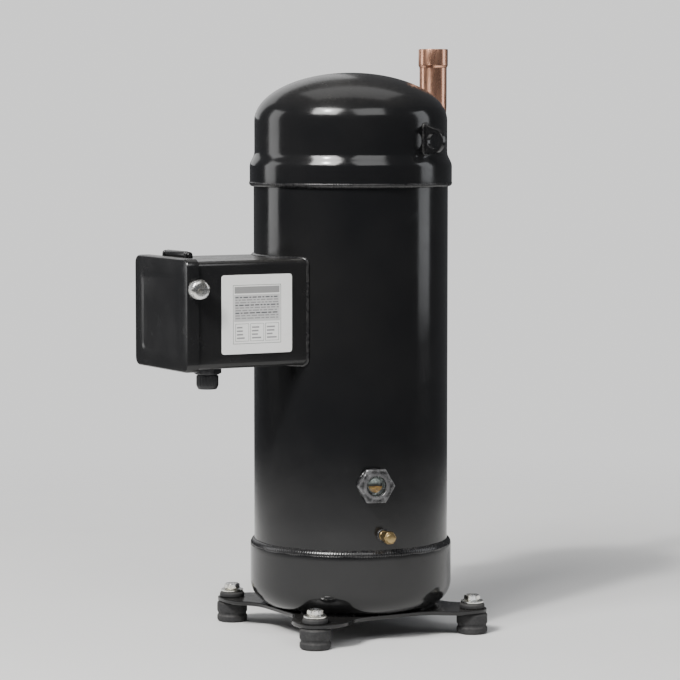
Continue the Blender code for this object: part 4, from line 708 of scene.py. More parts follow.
LOOKS = {
    "shell_paint": enamel("shell_enamel"),
    "cover_paint": enamel("cover_enamel", BOX_BLACK, 0.4, 0.2),
    "box_paint": enamel("box_enamel", BOX_BLACK, 0.4, 0.2, wear=0),
    # The boss paint's grey is part wear, part painted sheen.
    "boss_paint": worn_paint_with_painted_sheen("worn_enamel_with_painted_sheen"),
    "weld": weld_steel("painted_weld"),
    "rubber": rubber("moulded_rubber"),
    "zinc_steel": plate_metal("zinc_plate", ZINC, (0.8, 0.78, 0.7), 0.24, depth=0.012, dirt=0.15),
    "terminal_steel": plate_metal("terminal_plate", (0.5, 0.5, 0.51), (0.42, 0.42, 0.44), 0.32),
    "copper": copper("drawn_copper", [(LINE_JOINT, 62 * MM)]),
    "stub_copper": copper("stub_copper", [(SUCTION_ROOT, 46 * MM), (LINE_JOINT, 40 * MM)], 0.86),
    "braze": plate_metal("braze_alloy", (0.62, 0.5, 0.36), (0.42, 0.3, 0.2), 0.36, depth=0.06),
    "brass": plate_metal("turned_brass", (0.42, 0.31, 0.15), (0.3, 0.21, 0.1), 0.36, (1, 1, 4)),
    "counterweight_brass": plate_metal("cast_brass", (0.56, 0.43, 0.2), (0.47, 0.35, 0.16), 0.42, depth=0.1),
    "sight_glass": glass("sight_glass"),
    "label_stock": paper("label_film", (0.89, 0.89, 0.875), 0.14),
    "print_grey": paper("print_grey", (0.09, 0.09, 0.095), 0.1),
    "print_light": paper("print_light", (0.3, 0.3, 0.3), 0.1),
    "print_panel": paper("print_panel", (0.57, 0.57, 0.57), 0.1),
    "black_plastic": plastic("moulded_plastic", (0.02, 0.02, 0.022)),
    "lead_insulation": fabric_sleeve("woven_sleeve"),
    "cast_iron": cast_iron("cast_iron"),
    "machined_steel": ground_steel("ground_steel"),
    "oldham_iron": cast_iron("sintered_iron", (0.26, 0.25, 0.24)),
    "laminations": laminations("laminations"),
    "winding_wire": winding_wire("winding_wire"),
    "bearing_bronze": plate_metal("bearing_bronze", (0.5, 0.36, 0.18), (0.4, 0.29, 0.15), 0.38),
    "seal_polymer": plastic("filled_polymer", (0.075, 0.068, 0.06), 0.5),
    "oil": oil("oil"),
}

# Bevels, in millimetres, on the nodes that show their edges
BEVELS = {"cover_gasket": 0.5, "gland_locknut": 0.5, "power_terminal": 0.5, "terminal_block": 0.8}


def dress_cad_nodes():
    """Gives each node its slot's material."""
    for part in frame["record"]["subparts"]:
        obj = NODES[part["node"]]
        obj.data.materials.clear()
        obj.data.materials.append(LOOKS[part["material_slot"]])
        smooth(obj.data)
        if part["node"] in BEVELS:
            bevel = obj.modifiers.new("edge", "BEVEL")
            bevel.width = BEVELS[part["node"]] * MM
            bevel.segments = 3
            bevel.angle_limit = math.radians(40)
            bevel.harden_normals = True


# -------------------------------------------------------------------------------------------- vessel


def make_vessel():
    inner, bore = CAP_R - WALL, SKIRT_R - WALL

    def skin(name, outline, node):
        return turned(name, outline, "shell_paint", 160, about(AXIS), node=node)

    centre = (CAP_R - KNUCKLE, BOTTOM_Z + KNUCKLE)
    outline = [(0, BOTTOM_Z), (CAP_R - KNUCKLE - 22 * MM, BOTTOM_Z), *arc(KNUCKLE, -QUARTER, 0, 16, centre)]
    outline += [(CAP_R, BOTTOM_Z + z * MM) for z in (36, 44, 52, 60)]
    lip = [(CAP_R, BOTTOM_RIM_Z - 8 * MM), (CAP_R, BOTTOM_RIM_Z), (inner, BOTTOM_RIM_Z)]
    outline += rounded([*lip, (inner, BOTTOM_RIM_Z - 8 * MM)], 1.6 * MM)
    outline += [*arc(KNUCKLE - WALL, 0, -QUARTER, 10, centre), (0, BOTTOM_Z + WALL)]
    skin("bottom_cap_skin", outline, "bottom_cap")

    bottom, top, rings = low("centre_shell").z, high("centre_shell").z, 44
    heights = [bottom + (top - bottom) * i / rings for i in range(rings + 1)]
    outline = [(SHELL_R, z) for z in heights] + [(SHELL_R - WALL, z) for z in heights[::-1]]
    shell = skin("shell_skin", outline, "centre_shell")
    ports = (
        (TERMINAL_R, math.pi, TERMINAL_Z),
        (SUCTION_R, SUCTION_ANGLE, TERMINAL_Z),
        (SIGHT_GLASS_R, SIGHT_GLASS_ANGLE, SIGHT_GLASS_Z),
        (OIL_VALVE_R, OIL_VALVE_ANGLE, OIL_VALVE_Z),
    )
    cut(shell, [hole_cutter(r + GAP, SHELL_R / 2, CAP_R, point_out(angle, z)) for r, angle, z in ports])

    def dome(radius, crown, steps):
        """From the tangent line up to just short of the crown."""
        angles = [QUARTER * i / steps for i in range(steps)]
        return [(radius * math.cos(a), TANGENT_Z + (crown - TANGENT_Z) * math.sin(a)) for a in angles]

    outline = [(0, DOME_Z), *dome(SKIRT_R, DOME_Z, 26)[::-1]]
    outline += [(SKIRT_R, TANGENT_Z - k * MM) for k in (9, 18, 27, 35)]
    for i in range(15):
        t = i / 14
        outline.append((SKIRT_R + (CAP_R - SKIRT_R) * ease(t), JOGGLE_Z + JOGGLE * (1.4 - 1.8 * t)))
    foot = [(CAP_R, JOGGLE_Z - 8 * MM), (CAP_R, TOP_RIM_Z), (inner, TOP_RIM_Z), (inner, JOGGLE_Z - 6 * MM)]
    outline += rounded(foot, 1.4 * MM) + [(inner, JOGGLE_Z - 1 * MM), (bore, JOGGLE_Z + JOGGLE)]
    outline += [*dome(bore, DOME_Z - WALL, 12), (0, DOME_Z - WALL)]
    cap = skin("top_cap_skin", outline, "top_cap")
    cut(cap, [hole_cutter(21.3 * MM, SHELL_R / 2, CAP_R, point_out(DISCHARGE_ANGLE, DISCHARGE_Z))])

    ring_bead("bottom_seam_weld", SHELL_R + 1.5 * MM, BOTTOM_RIM_Z + 1.6 * MM, 5 * MM, tilt=0.45, squash=0.52)
    ring_bead("top_seam_weld", SHELL_R + 1.9 * MM, TOP_RIM_Z - 0.4 * MM, 3.6 * MM, tilt=-0.8)
    make_long_seam()


def make_long_seam():
    """The upright seam of the rolled shell, ground nearly flush, on the side away from the terminal box."""
    out, across = radial(LONG_SEAM_ANGLE), radial(LONG_SEAM_ANGLE + QUARTER)
    first, last, steps = BOTTOM_RIM_Z + 2 * MM, TOP_RIM_Z - 2 * MM, 240
    loops = []
    for i in range(steps + 1):
        z = first + (last - first) * i / steps
        wobble = 0.5 * MM * noise.noise(Vector((0, 3, z * 60)))
        swell = (0.75 + 0.2 * abs(math.cos(math.pi * z / (2.4 * MM)))) * MM
        loop = []
        for k in range(9):
            t = k / 8 * 2 - 1
            lift = swell * (1 - t * t) - 0.35 * MM
            loop.append(AXIS + out * (SHELL_R + lift) + across * (4 * MM * t + wobble) + UP * z)
        loop.append(AXIS + out * (SHELL_R - 1 * MM) + UP * z)
        loops.append(loop)
    lofted("long_seam_weld", loops, "weld", angle=WELD_SHARP_ANGLE)


def outline_round(centre, polygon, count):
    """Points on a polygon seen from centre at even angles, and at its corners, with those angles."""
    corners = [math.atan2(y - centre[1], x - centre[0]) % TURN for x, y in polygon]
    angles = sorted({round(a, 5) for a in corners} | {round(TURN * i / count, 5) for i in range(count)})
    found = []
    for a in angles:
        dx, dy = math.cos(a), math.sin(a)
        hits = []
        for (x1, y1), (x2, y2) in zip(polygon, polygon[1:] + polygon[:1]):
            ex, ey = x2 - x1, y2 - y1
            cross = dx * ey - dy * ex
            if abs(cross) < 1e-12:
                continue
            t = ((x1 - centre[0]) * ey - (y1 - centre[1]) * ex) / cross
            u = ((x1 - centre[0]) * dy - (y1 - centre[1]) * dx) / cross
            if t > 0 and -1e-6 <= u <= 1 + 1e-6:
                hits.append(t)
        found.append((centre[0] + dx * min(hits), centre[1] + dy * min(hits)))
    return angles, found


def make_lugs():
    """Two lifting lugs with rolled edges, each welded to the skirt all round."""
    half, tip_r, eye_r, edge = 3 * MM, 15 * MM, 9 * MM, 0.8 * MM
    foot_z = JOGGLE_Z + JOGGLE + 2 * MM
    eye, eye_z = SHELL_R + 28 * MM - tip_r, foot_z + 16 * MM
    root, top_z = SKIRT_R + GAP, eye_z + 20 * MM
    polygon = [(root, foot_z), *arc(tip_r, -QUARTER, QUARTER, 24, (eye, eye_z)), (root, top_z)]
    angles, outer = outline_round((eye, eye_z), polygon, 72)
    inset = [(x - edge * math.cos(a), z - edge * math.sin(a)) for a, (x, z) in zip(angles, outer)]

    def hole(radius):
        return [(eye + radius * math.cos(a), eye_z + radius * math.sin(a)) for a in angles]

    rows = [(outer, half - edge), (inset, half), (hole(eye_r + edge), half), (hole(eye_r), half - edge)]
    rows += [(loop, -y) for loop, y in rows[::-1]]
    loops = [[(x, y, z) for x, z in loop] for loop, y in rows]
    foot = rounded_rectangle(half + 1 * MM, (top_z - foot_z) / 2, 3 * MM, 6)
    for number, angle in ((1, LUG_ANGLE), (2, LUG_ANGLE + math.pi)):
        place = about(AXIS) @ turn_about(angle, "Z")
        name, node = f"lifting_lug_plate_{number}", f"lifting_lug_{number}"
        lofted(name, loops, "shell_paint", cyclic=True, matrix=place, node=node)
        path = []
        for (y1, z1), (y2, z2) in zip(foot, foot[1:] + foot[:1]):
            pieces = max(1, round(math.hypot(y2 - y1, z2 - z1) / (1 * MM)))
            for k in range(pieces):
                y, z = y1 + (y2 - y1) * k / pieces, z1 + (z2 - z1) * k / pieces
                x = math.sqrt(SKIRT_R**2 - y * y) + 0.4 * MM
                path.append(place @ Vector((x, y, (top_z + foot_z) / 2 + z)))
        out = radial(angle)
        bead(f"lug_weld_{number}", path, lambda p: out, 2.2 * MM)


# ---------------------------------------------------------------------------------------------- feet


def make_plate():
    """The pressed base plate: a waisted square with round feet, and stitches of weld to the bottom cap."""
    half, margin, waist, bevel = abs((middle("mount_bolt_1") - AXIS).x), 19 * MM, 26 * MM, 0.8 * MM
    edge, neck = half + margin, half - 1.7 * margin
    a, b = edge - waist, neck - waist
    side = [(a, b), (edge, neck), (edge, edge), (neck, edge), (b, a)]
    corners = []
    for quarter in range(4):
        c, s = round(math.cos(quarter * QUARTER)), round(math.sin(quarter * QUARTER))
        corners += [(x * c - y * s, x * s + y * c) for x, y in side]
    radii = [22 * MM, 20 * MM, 30 * MM, 20 * MM, 22 * MM] * 4
    points = [Vector(p) for p in rounded(corners, radii, 10, closed=True)]
    inset = []
    for i, p in enumerate(points):
        along = (points[(i + 1) % len(points)] - points[i - 1]).normalized()
        inset.append(p + Vector((-along.y, along.x)) * bevel)
    rows = [(inset, PLATE_LOW), (points, PLATE_LOW + bevel)]
    rows += [(points, PLATE_HIGH - bevel), (inset, PLATE_HIGH)]
    loops = [[(p.x, p.y, z) for p in ring] for ring, z in rows]
    plate = lofted("base_plate", loops, "shell_paint", matrix=about(AXIS), node="mounting_plate")
    feet = [about(flat(middle(f"mount_bolt_{i}"))) for i in (1, 2, 3, 4)]
    cut(plate, [hole_cutter(11 * MM, PLATE_LOW - 5 * MM, PLATE_HIGH + 5 * MM, foot, 48) for foot in feet])

    def outward(p):
        return flat(p - AXIS).normalized() + UP * 0.8

    stitch_r, stitch_z, step = 103.5 * MM, PLATE_HIGH + 0.5 * MM, math.radians(0.25)
    for number in range(4):
        angles = [(number + 0.5) * QUARTER + step * k for k in range(-80, 81)]
        path = [AXIS + radial(a) * stitch_r + UP * stitch_z for a in angles]
        bead(f"plate_weld_{number + 1}", path, outward, 2.2 * MM, closed=False)


def make_feet():
    hexed = hexagon(17 * MM)
    rubber_foot = profile(0, (6.3, 0), (16.5, 0), (19, 2.2), (19, 7.5), (17.6, 9.2), (17.6, 11.4), (19, 13.1))
    rubber_foot += profile(0, (19, 23.5), (16.8, 26), (10.7, 26))
    for number in (1, 2, 3, 4):
        grommet, bolt = f"grommet_{number}", f"mount_bolt_{number}"
        place = about(flat(middle(bolt)))
        top, crown = high(grommet).z, high(bolt).z
        outline = [*rubber_foot, (10.7 * MM, PLATE_LOW), *profile(PLATE_HIGH + GAP, (10.7, 0), (15.5, 0))]
        outline = rounded(outline + profile(top, (15.5, -2.2), (13.6, 0), (6.3, 0)), 1.1 * MM, 3, closed=True)
        turned(f"{grommet}_rubber", outline, "rubber", 64, place, node=grommet)

        washer = top + GAP
        head = washer + 2.5 * MM
        rim = profile(washer, (6, 0), (14, 0)) + profile(head, (14, 0), (7.9, 0))
        outline = profile(0, (0, 1), (5.4, 1), (6, 1.6)) + rounded(rim, [0, 0.5 * MM, 0.9 * MM, 0], 3)
        outline += profile(head, (7.9, 0.5), (8.3, 0.5), (8.9, 0.9, hexed), (10, 1.5, hexed))
        outline += profile(crown, (10, -1.5, hexed), (9.3, -0.8, hexed), (8.3, -0.25, hexed))
        outline += profile(crown, (7.7, 0), (5.2, 0), (4.8, -0.35), (0, -0.35))
        turned(f"{bolt}_screw", outline, "zinc_steel", 96, place, node=bolt)


# ------------------------------------------------------------------------------------------ fittings


def make_stub(name, node, place, wall_r, radius, bore, step, stop, mouth, corner_radii, steps):
    """A short tube through the vessel's wall, with a step in its bore that stops the line."""
    root, inside = wall_r - WALL - 6 * MM, bore - step
    corners = [(inside, root), (radius, root), (radius, mouth), (bore, mouth), (bore, stop), (inside, stop)]
    outline = rounded(corners, [r * MM for r in corner_radii], closed=True)
    turned(name, outline, "stub_copper", steps, place, node=node)


def make_discharge():
    """The stub in the dome, the brazed joint, and the drawn copper bend with its swaged end."""
    place = point_out(DISCHARGE_ANGLE, DISCHARGE_Z)
    radius, bore, stop, corner_radii = 21 * MM, 17.8 * MM, SHELL_R + 1 * MM, (0.5, 0.5, 1.2, 0.6, 0, 0.4)
    names = "discharge_stub", "discharge_fitting"
    make_stub(*names, place, SKIRT_R, radius, bore, 4 * MM, stop, DISCHARGE_MOUTH, corner_radii, 72)
    port_bead("discharge_weld", place, radius + 0.8 * MM, SKIRT_R, 2.6 * MM, 160)
    ring = profile(SHELL_R, (17.55, 14.2), (20.2, 14.2), (20.4, 15))
    ring += profile(SHELL_R, (19.4, 16.6), (18.2, 18.4), (17.55, 19.2))
    turned("discharge_braze", rounded(ring, 0.5 * MM, 3, closed=True), "braze", 72, place)

    line_r, line_wall, bend_r, swage = 17.5 * MM, 1.5 * MM, 38 * MM, 1.4 * MM
    reach, top = SHELL_R + 56 * MM, high("discharge_line").z
    swage_z = top - 24 * MM
    path, outer, inner = [], [], []

    def add(distance, z, r=line_r, bore_r=line_r - line_wall):
        path.append(AXIS + DISCHARGE_OUT * distance + UP * z)
        outer.append(r)
        inner.append(bore_r)

    add(stop + GAP, DISCHARGE_Z)
    add(DISCHARGE_MOUTH, DISCHARGE_Z)
    for i in range(25):
        t = i / 24
        a = QUARTER * (t - 1)
        pinched = line_r * (1 - 0.018 * math.sin(math.pi * t))
        add(reach - bend_r * (1 - math.cos(a)), DISCHARGE_Z + bend_r * (1 + math.sin(a)), pinched)
    add(reach, swage_z - 3 * MM)
    for i in range(7):
        t = i / 6
        add(reach, swage_z + 3.5 * MM * t, line_r + swage * ease(t), line_r - line_wall + swage * ease(t))
    for drop, r, bore_r in ((1, 18.9, 17.4), (0.3, 18.75, 17.55), (0, 18.4, 17.9)):
        add(reach, top - drop * MM, r * MM, bore_r * MM)
    side = radial(DISCHARGE_ANGLE + QUARTER)
    rings = tube_rings(path, outer, side, 56) + tube_rings(path, inner, side, 56)[::-1]
    lofted("discharge_tube", rings, "copper", cyclic=True, node="discharge_line")


def make_suction():
    place = point_out(SUCTION_ANGLE, TERMINAL_Z)
    stop, mouth = SHELL_R + 6 * MM, high("suction_fitting").y - AXIS.y
    names, corner_radii = ("suction_stub", "suction_fitting"), (0.5, 0.5, 1.3, 0.9, 0, 0.5)
    make_stub(*names, place, SHELL_R, SUCTION_R, 20.8 * MM, 3 * MM, stop, mouth, corner_radii, 84)
    port_bead("suction_weld", place, SUCTION_R + 0.8 * MM, SHELL_R, 2.8 * MM, 180)


def make_sight_glass():
    """A welded boss with a hexagonal retainer, a slightly domed lens, and oil up to its middle behind it."""
    place = point_out(SIGHT_GLASS_ANGLE, SIGHT_GLASS_Z)
    root, face, hexed = SHELL_R - WALL - 3 * MM, SHELL_R + 18 * MM, hexagon(40 * MM)
    nut = face - 10 * MM
    outline = [(8 * MM, root), (SIGHT_GLASS_R, root), (SIGHT_GLASS_R, nut)]
    outline += profile(nut, (19.3, 0, hexed), (21.6, 1.1, hexed), (23.2, 1.9, hexed))
    outline += profile(face, (23.2, -2.6, hexed), (22, -1.9, hexed), (19.4, -0.9), (16.6, -0.9), (16.2, -0.2))
    outline += profile(face, (15.6, 0), (12.9, 0), (12.3, -0.5), (12, -1.2)) + profile(nut, (12, 0), (8, 0))
    turned("sight_glass_boss", outline, "boss_paint", 96, place, node="sight_glass_body")
    port_bead("sight_glass_weld", place, 17.6 * MM, SHELL_R, 2.4 * MM)

    outline = profile(nut + GAP, (0, 0), (11.3, 0), (11.7, 0.4))
    outline += profile(face, (11.7, -4.6), (11.2, -4.1), (9, -3.6), (6, -3.2), (3, -3.05), (0, -3))
    turned("sight_glass_disc", outline, "sight_glass", 64, place, node="sight_glass_lens")

    oil_r, level = 7.9 * MM, 0.5 * MM
    start = math.asin(level / oil_r)
    pool = arc(oil_r, start, math.pi - start, 24)
    loops = [[(x, y, u) for y, x in pool] for u in (nut - 5 * MM, nut - 0.4 * MM)]
    lofted("sight_glass_oil", loops, "oil", matrix=place)
    backing = profile(nut, (0, -9), (7.9, -9), (7.9, -8.2), (0, -8.2))
    turned("sight_glass_backing", backing, "terminal_steel", 48, place)


def make_oil_valve():
    place = point_out(OIL_VALVE_ANGLE, OIL_VALVE_Z)
    root, seat, hexed = SHELL_R - WALL - 3 * MM, SHELL_R + 13 * MM, hexagon(11.9 * MM)
    stem_end = seat + 9 * MM
    outline = [(0, root), (OIL_VALVE_R, root), (OIL_VALVE_R, SHELL_R + 3 * MM)]
    outline += profile(SHELL_R, (4.6, 4), (4.6, 5.5), (5.7, 5.6), (6.9, 6.3, hexed))
    outline += profile(seat, (6.9, -0.9, hexed), (5.8, 0))
    thread = seat
    while thread < stem_end - 2 * MM:
        outline += profile(thread, (3.45, 0.1), (3.98, 0.55))
        thread += 0.9 * MM
    outline += profile(stem_end, (3.4, -1.7), (2.4, 0), (1.2, 0), (1.2, -1.5), (0, -1.5))
    turned("oil_valve_stem", outline, "brass", 72, place, node="oil_valve_body")
    port_bead("oil_valve_weld", place, OIL_VALVE_R + 0.6 * MM, SHELL_R, 1.8 * MM, 70)

    end, hexed = SHELL_R + 28 * MM, hexagon(14 * MM)
    outline = profile(stem_end, (0, 1), (4.3, 1)) + profile(seat + GAP, (4.3, 0), (6.3, 0))
    outline += profile(seat, (7, 0.9, hexed), (8.1, 1.5, hexed))
    outline += profile(end, (8.1, -4.2, hexed), (7.3, -3.5, hexed), (6.5, -3.1), (6.2, -1.6), (5.2, -0.5))
    outline += profile(end, (3.4, -0.05), (0, 0))
    turned("oil_valve_hex_cap", outline, "brass", 72, place, body="valve_cap", node="oil_valve_cap")


# -------------------------------------------------------------------------------------- terminal box


SCREW_X, SCREW_Z = middle("cover_screw").x, middle("cover_screw").z
SCREW_PLACE = about(Vector((SCREW_X, AXIS.y, SCREW_Z))) @ turn_about(QUARTER, "X")
PIN_PLACE = about(Vector((HINGE[0], AXIS.y, HINGE[2]))) @ turn_about(-QUARTER, "X")


def rectangle_loop(half_y, half_z, corner, x, side=14, bend=6):
    """A rounded rectangle about the terminal, at a depth x from the crank axis. x may be a function of y."""
    points = rounded_rectangle(half_y, half_z, corner, bend, side)
    return [(AXIS.x - (x(y) if callable(x) else x), AXIS.y + y, TERMINAL_Z + z) for y, z in points]


def circle_loop(radius, x, template):
    """A circle about the terminal, with a point facing each point of another loop."""
    loop = []
    for _, y, z in template:
        a = math.atan2(z - TERMINAL_Z, y - AXIS.y)
        loop.append((AXIS.x - x, AXIS.y + radius * math.cos(a), TERMINAL_Z + radius * math.sin(a)))
    return loop


def hinge_loop(points, y, scale=1):
    """A loop round the hinge pin, at a place along it."""
    return [(HINGE[0] + a * scale, AXIS.y + y, HINGE[2] + b * scale) for a, b in points]


def make_terminal_box():
    """The box, cut to the shell's curve, with a window for the terminal and ears that hold the hinge pin."""
    half_y, half_z, wall, corner = BOX_HALF_Y, BOX_HALF_Z, 2.5, 7
    back, front, window = SHELL_R + 7 * MM, BOX_FRONT, TERMINAL_R + 7 * MM
    inside = back + wall * MM

    def scribe(y):
        """The shell's distance from the crank axis along the box, at that distance from its middle."""
        return math.sqrt((SHELL_R + GAP) ** 2 - min(abs(y), SHELL_R * 0.99) ** 2)

    def ring(inset, x):
        return rectangle_loop(half_y - inset * MM, half_z - inset * MM, max(corner - inset, 1.2) * MM, x)

    def opening(more, x):
        return circle_loop(window + more * MM, x, template)

    template = ring(wall, back)
    loops = [ring(0, front - 0.8 * MM), ring(0, scribe), ring(wall, scribe), template]
    loops += [opening(0.4, back), opening(0, back + 0.5 * MM), opening(0, inside - 0.5 * MM)]
    loops += [opening(0.5, inside), ring(wall + 1.2, inside), ring(wall, inside + 1.2 * MM)]
    loops += [ring(wall, front - 0.8 * MM), ring(wall - 0.3, front - 0.2 * MM), ring(wall - 0.8, front)]
    loops += [ring(0.8, front), ring(0.2, front - 0.25 * MM)]
    bm = bmesh.new()
    loft(bm, loops, cyclic=True)
    ear = profile(0, (-5, -7.2), (5, -7.2), (5, 0.5), (3.6, 3.2), (0, 4), (-3.6, 3.2), (-5, 0.5))
    ear = rounded(ear, 1.6 * MM, 3, closed=True)
    for y in (-30, 30):
        rows = ((0.93, -2), (1, -1.6), (1, 1.6), (0.93, 2))
        loft(bm, [hinge_loop(ear, (y + dy) * MM, scale) for scale, dy in rows])
    pin = profile(0, (0, -34), (2.4, -34), (2.9, -33.4), (2.9, -32.6), (2, -32.2), (2, 32.2), (2.6, 32.6))
    turn(bm, pin + profile(0, (2.6, 33.4), (0, 34)), 32, PIN_PLACE)
    box = finish_piece("terminal_box_skin", bm, "box_paint", node="terminal_box")
    gland = about(flat(middle("cable_gland")) + UP * BOX_Z)
    screw_hole = hole_cutter(2.7 * MM, half_y - 9 * MM, half_y + 1 * MM, SCREW_PLACE, 32)
    cut(box, [hole_cutter(11.3 * MM, -9 * MM, 9 * MM, gland, 48), screw_hole])

    edge = rectangle_loop(
        half_y + 0.4 * MM, half_z + 0.4 * MM, corner * MM, lambda y: scribe(y) + 1 * MM, 60, 12
    )
    centre = Vector((AXIS.x - SHELL_R, AXIS.y, TERMINAL_Z))

    def outward(p):
        return ((p - centre) * Vector((0, 1, 1))).normalized() + Vector((-0.8, 0, 0))

    bead("box_seam_sealant", [Vector(p) for p in edge], outward, 2.1 * MM, pitch=9 * MM, ripple=0.06)

    bm = bmesh.new()
    under = profile(0, (0, 0.3), (10.4, 0.3), (10.6, -0.5), (0, -0.5))
    turn(bm, under, 48, about(Vector((AXIS.x - SHELL_R - 62 * MM, AXIS.y, BOX_Z))))
    disc = profile(0, (0, -0.3), (11.6, -0.3), (11.6, 0.3), (11.2, 0.9), (10.6, 1.1), (9.9, 0.9), (9.5, 0.3))
    for x in (50, 95):
        spot = Vector((AXIS.x - SHELL_R - x * MM, AXIS.y + BOX_HALF_Y, TERMINAL_Z - 24 * MM))
        turn(bm, disc + profile(0, (0, 0.3)), 48, about(spot) @ turn_about(-QUARTER, "X"))
    finish_piece("box_knockouts", bm, "box_paint")


def make_cover():
    """The sheet cover, with a pressed field in its face, and the knuckle that turns on the hinge pin."""
    thick, gap, corner = 2.4, 0.8, 10.2
    face = AXIS.x - low("terminal_box_cover").x
    lip, inside = face - 15.4 * MM, face - thick * MM
    half_y, half_z = BOX_HALF_Y + (gap + thick) * MM, BOX_HALF_Z + (gap + thick) * MM

    def ring(base, depth, inset, corner=corner):
        radius = max(corner - inset, 1.5) * MM
        return rectangle_loop(half_y - inset * MM, half_z - inset * MM, radius, base + depth * MM)

    loops = [ring(face, -0.9, 24, 30), ring(face, -0.75, 22.6, 29), ring(face, -0.15, 20.8, 28)]
    loops += [ring(face, 0, 19.4, 27), ring(face, 0, 3.2), ring(face, -0.3, 1.5), ring(face, -1.3, 0.45)]
    loops += [ring(face, -3, 0), ring(lip, 0.6, 0), ring(lip, 0, 0.5), ring(lip, 0, thick - 0.5)]
    loops += [ring(lip, 0.6, thick), ring(inside, -1.5, thick), ring(inside, 0, thick + 1.2)]
    loops += [ring(inside, 0, 19.4, 27), ring(inside, -0.8, 22.6, 29)]
    bm = bmesh.new()
    loft(bm, loops)
    knuckle = rounded(profile(0, (2.4, -26), (4.4, -26), (4.4, 26), (2.4, 26)), 0.5 * MM, 3, closed=True)
    turn(bm, knuckle, 40, PIN_PLACE)
    web = profile(0, (-10.2, -4.7), (-1.2, -4.7), (2.6, -3.9), (1.6, -2.6), (-1, -3.2), (-10.2, -3.2))
    web = rounded(web, 0.7 * MM, 3, closed=True)
    loft(bm, [hinge_loop(web, y * MM) for y in (-26, 26)])
    finish_piece("terminal_cover_skin", bm, "cover_paint", body="cover", node="terminal_box_cover")


def make_cover_knob():
    """The knurled captive screw, with a slot across its end and a collar under its head."""
    root, end = AXIS.y - high("cover_screw").y, AXIS.y - low("cover_screw").y
    shoulder, grip = BOX_HALF_Y + 3.5 * MM, knurl(12 * MM, 0.9 * MM, 32)
    outline = profile(root, (0, 0), (1.4, 0), (2.2, 1)) + profile(shoulder, (2.2, 0), (9.4, 0), (9.8, 0.4))
    outline += profile(shoulder, (9.8, 1.4), (7.2, 1.7), (7.2, 3), (10.6, 3.2), (11.4, 4), (12, 4.8, grip))
    outline += profile(end, (12, -3, grip), (11.2, -2), (10.2, -1.1), (9, -0.4), (7.4, 0), (0, 0))
    knob = turned("cover_knob", outline, "zinc_steel", 264, SCREW_PLACE, body="cover", node="cover_screw")
    bm = bmesh.new()
    slab(bm, (-14 * MM, -1.3 * MM, end - 3 * MM), (14 * MM, 1.3 * MM, end + 3 * MM), 0, SCREW_PLACE)
    cut(knob, [new_object("slot", bm)])


def make_gland():
    """The threaded body with its hexagon and ribbed nut, and the seal in its mouth."""
    place = about(flat(middle("cable_gland")))
    inside, tip = high("cable_gland").z, low("cable_gland").z
    hexed, ribs = hexagon(29 * MM), knurl(13.5 * MM, 0.7 * MM, 20)
    outline = profile(inside, (8, 0), (10.2, 0))
    for k in range(6):
        outline += profile(inside - 1.4 * MM * k, (11, -0.9), (10.3, -1.6))
    outline += profile(BOX_Z - GAP, (11, 0), (14, 0, hexed)) + profile(BOX_Z, (16.9, -1.4, hexed))
    outline += profile(BOX_Z, (16.9, -7.6, hexed), (14.2, -9, hexed), (11.6, -9), (11.6, -10.4))
    outline += profile(BOX_Z, (13, -10.6, ribs), (13.5, -11.6, ribs), (13.5, -21.5, ribs), (12.6, -24))
    outline += profile(tip, (11.4, 0.6), (10.8, 0), (9.6, 0), (8.6, 0.8), (8.4, 3), (8, 3))
    turned("cable_gland_body", outline, "black_plastic", 120, place, node="cable_gland")
    seal = rounded(profile(tip, (6, 4), (8.3, 4), (8.3, 1.2), (7.4, 0.9)), 0.4 * MM, 3, closed=True)
    turned("gland_seal", seal, "rubber", 64, place)


def make_label():
    """A white film with a ruled form on it: frames, rules and grey bars, and no lettering."""
    lowest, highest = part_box("wiring_label")
    centre, half, front = (lowest + highest) / 2, (highest - lowest) / 2, lowest.y
    loops = []
    for inset, y in ((0, highest.y), (0, front + 0.15 * MM), (0.15 * MM, front)):
        ring = rounded_rectangle(half.x - inset, half.z - inset, 3.5 * MM)
        loops.append([(centre.x + x, y, centre.z + z) for x, z in ring])
    lofted("wiring_label_film", loops, "label_stock", node="wiring_label")

    random.seed(7)
    dark, light, panel = bmesh.new(), bmesh.new(), bmesh.new()

    def bar(target, left, bottom, width, height):
        """One printed block, in millimetres from the label's lower left corner."""
        x1, z1 = lowest.x + left * MM, lowest.z + bottom * MM
        x2, z2 = x1 + width * MM, z1 + height * MM
        proud = 0.02 if target is panel else 0.04
        depths = (front - proud * MM, front + 0.05 * MM)
        loft(target, [[(x1, y, z1), (x2, y, z1), (x2, y, z2), (x1, y, z2)] for y in depths])

    def rule(left, bottom, width, height, line=0.5):
        bar(dark, left, bottom, width, line)
        bar(dark, left, bottom + height - line, width, line)
        bar(dark, left, bottom + line, line, height - 2 * line)
        bar(dark, left + width - line, bottom + line, line, height - 2 * line)

    bar(panel, 16.5, 38.5, 61, 32)
    rule(15, 12, 64, 70)
    bar(light, 17, 72, 60, 8)
    for row in range(9):
        left = 18.0
        while left < 74:
            width = min(random.uniform(2.5, 8.5), 76 - left)
            bar(light if row % 3 else dark, left, 66.5 - 3.1 * row, width, 1.5)
            left += width + 1.4
    for column in range(3):
        left = 18 + 20 * column
        rule(left, 15, 18, 21, 0.4)
        for k in range(4):
            bar(light, left + 2, 18 + 4.2 * k, random.uniform(7, 14), 1.8)
    finish_piece("label_print_dark", dark, "print_grey")
    finish_piece("label_print_light", light, "print_light")
    finish_piece("label_print_panel", panel, "print_panel")


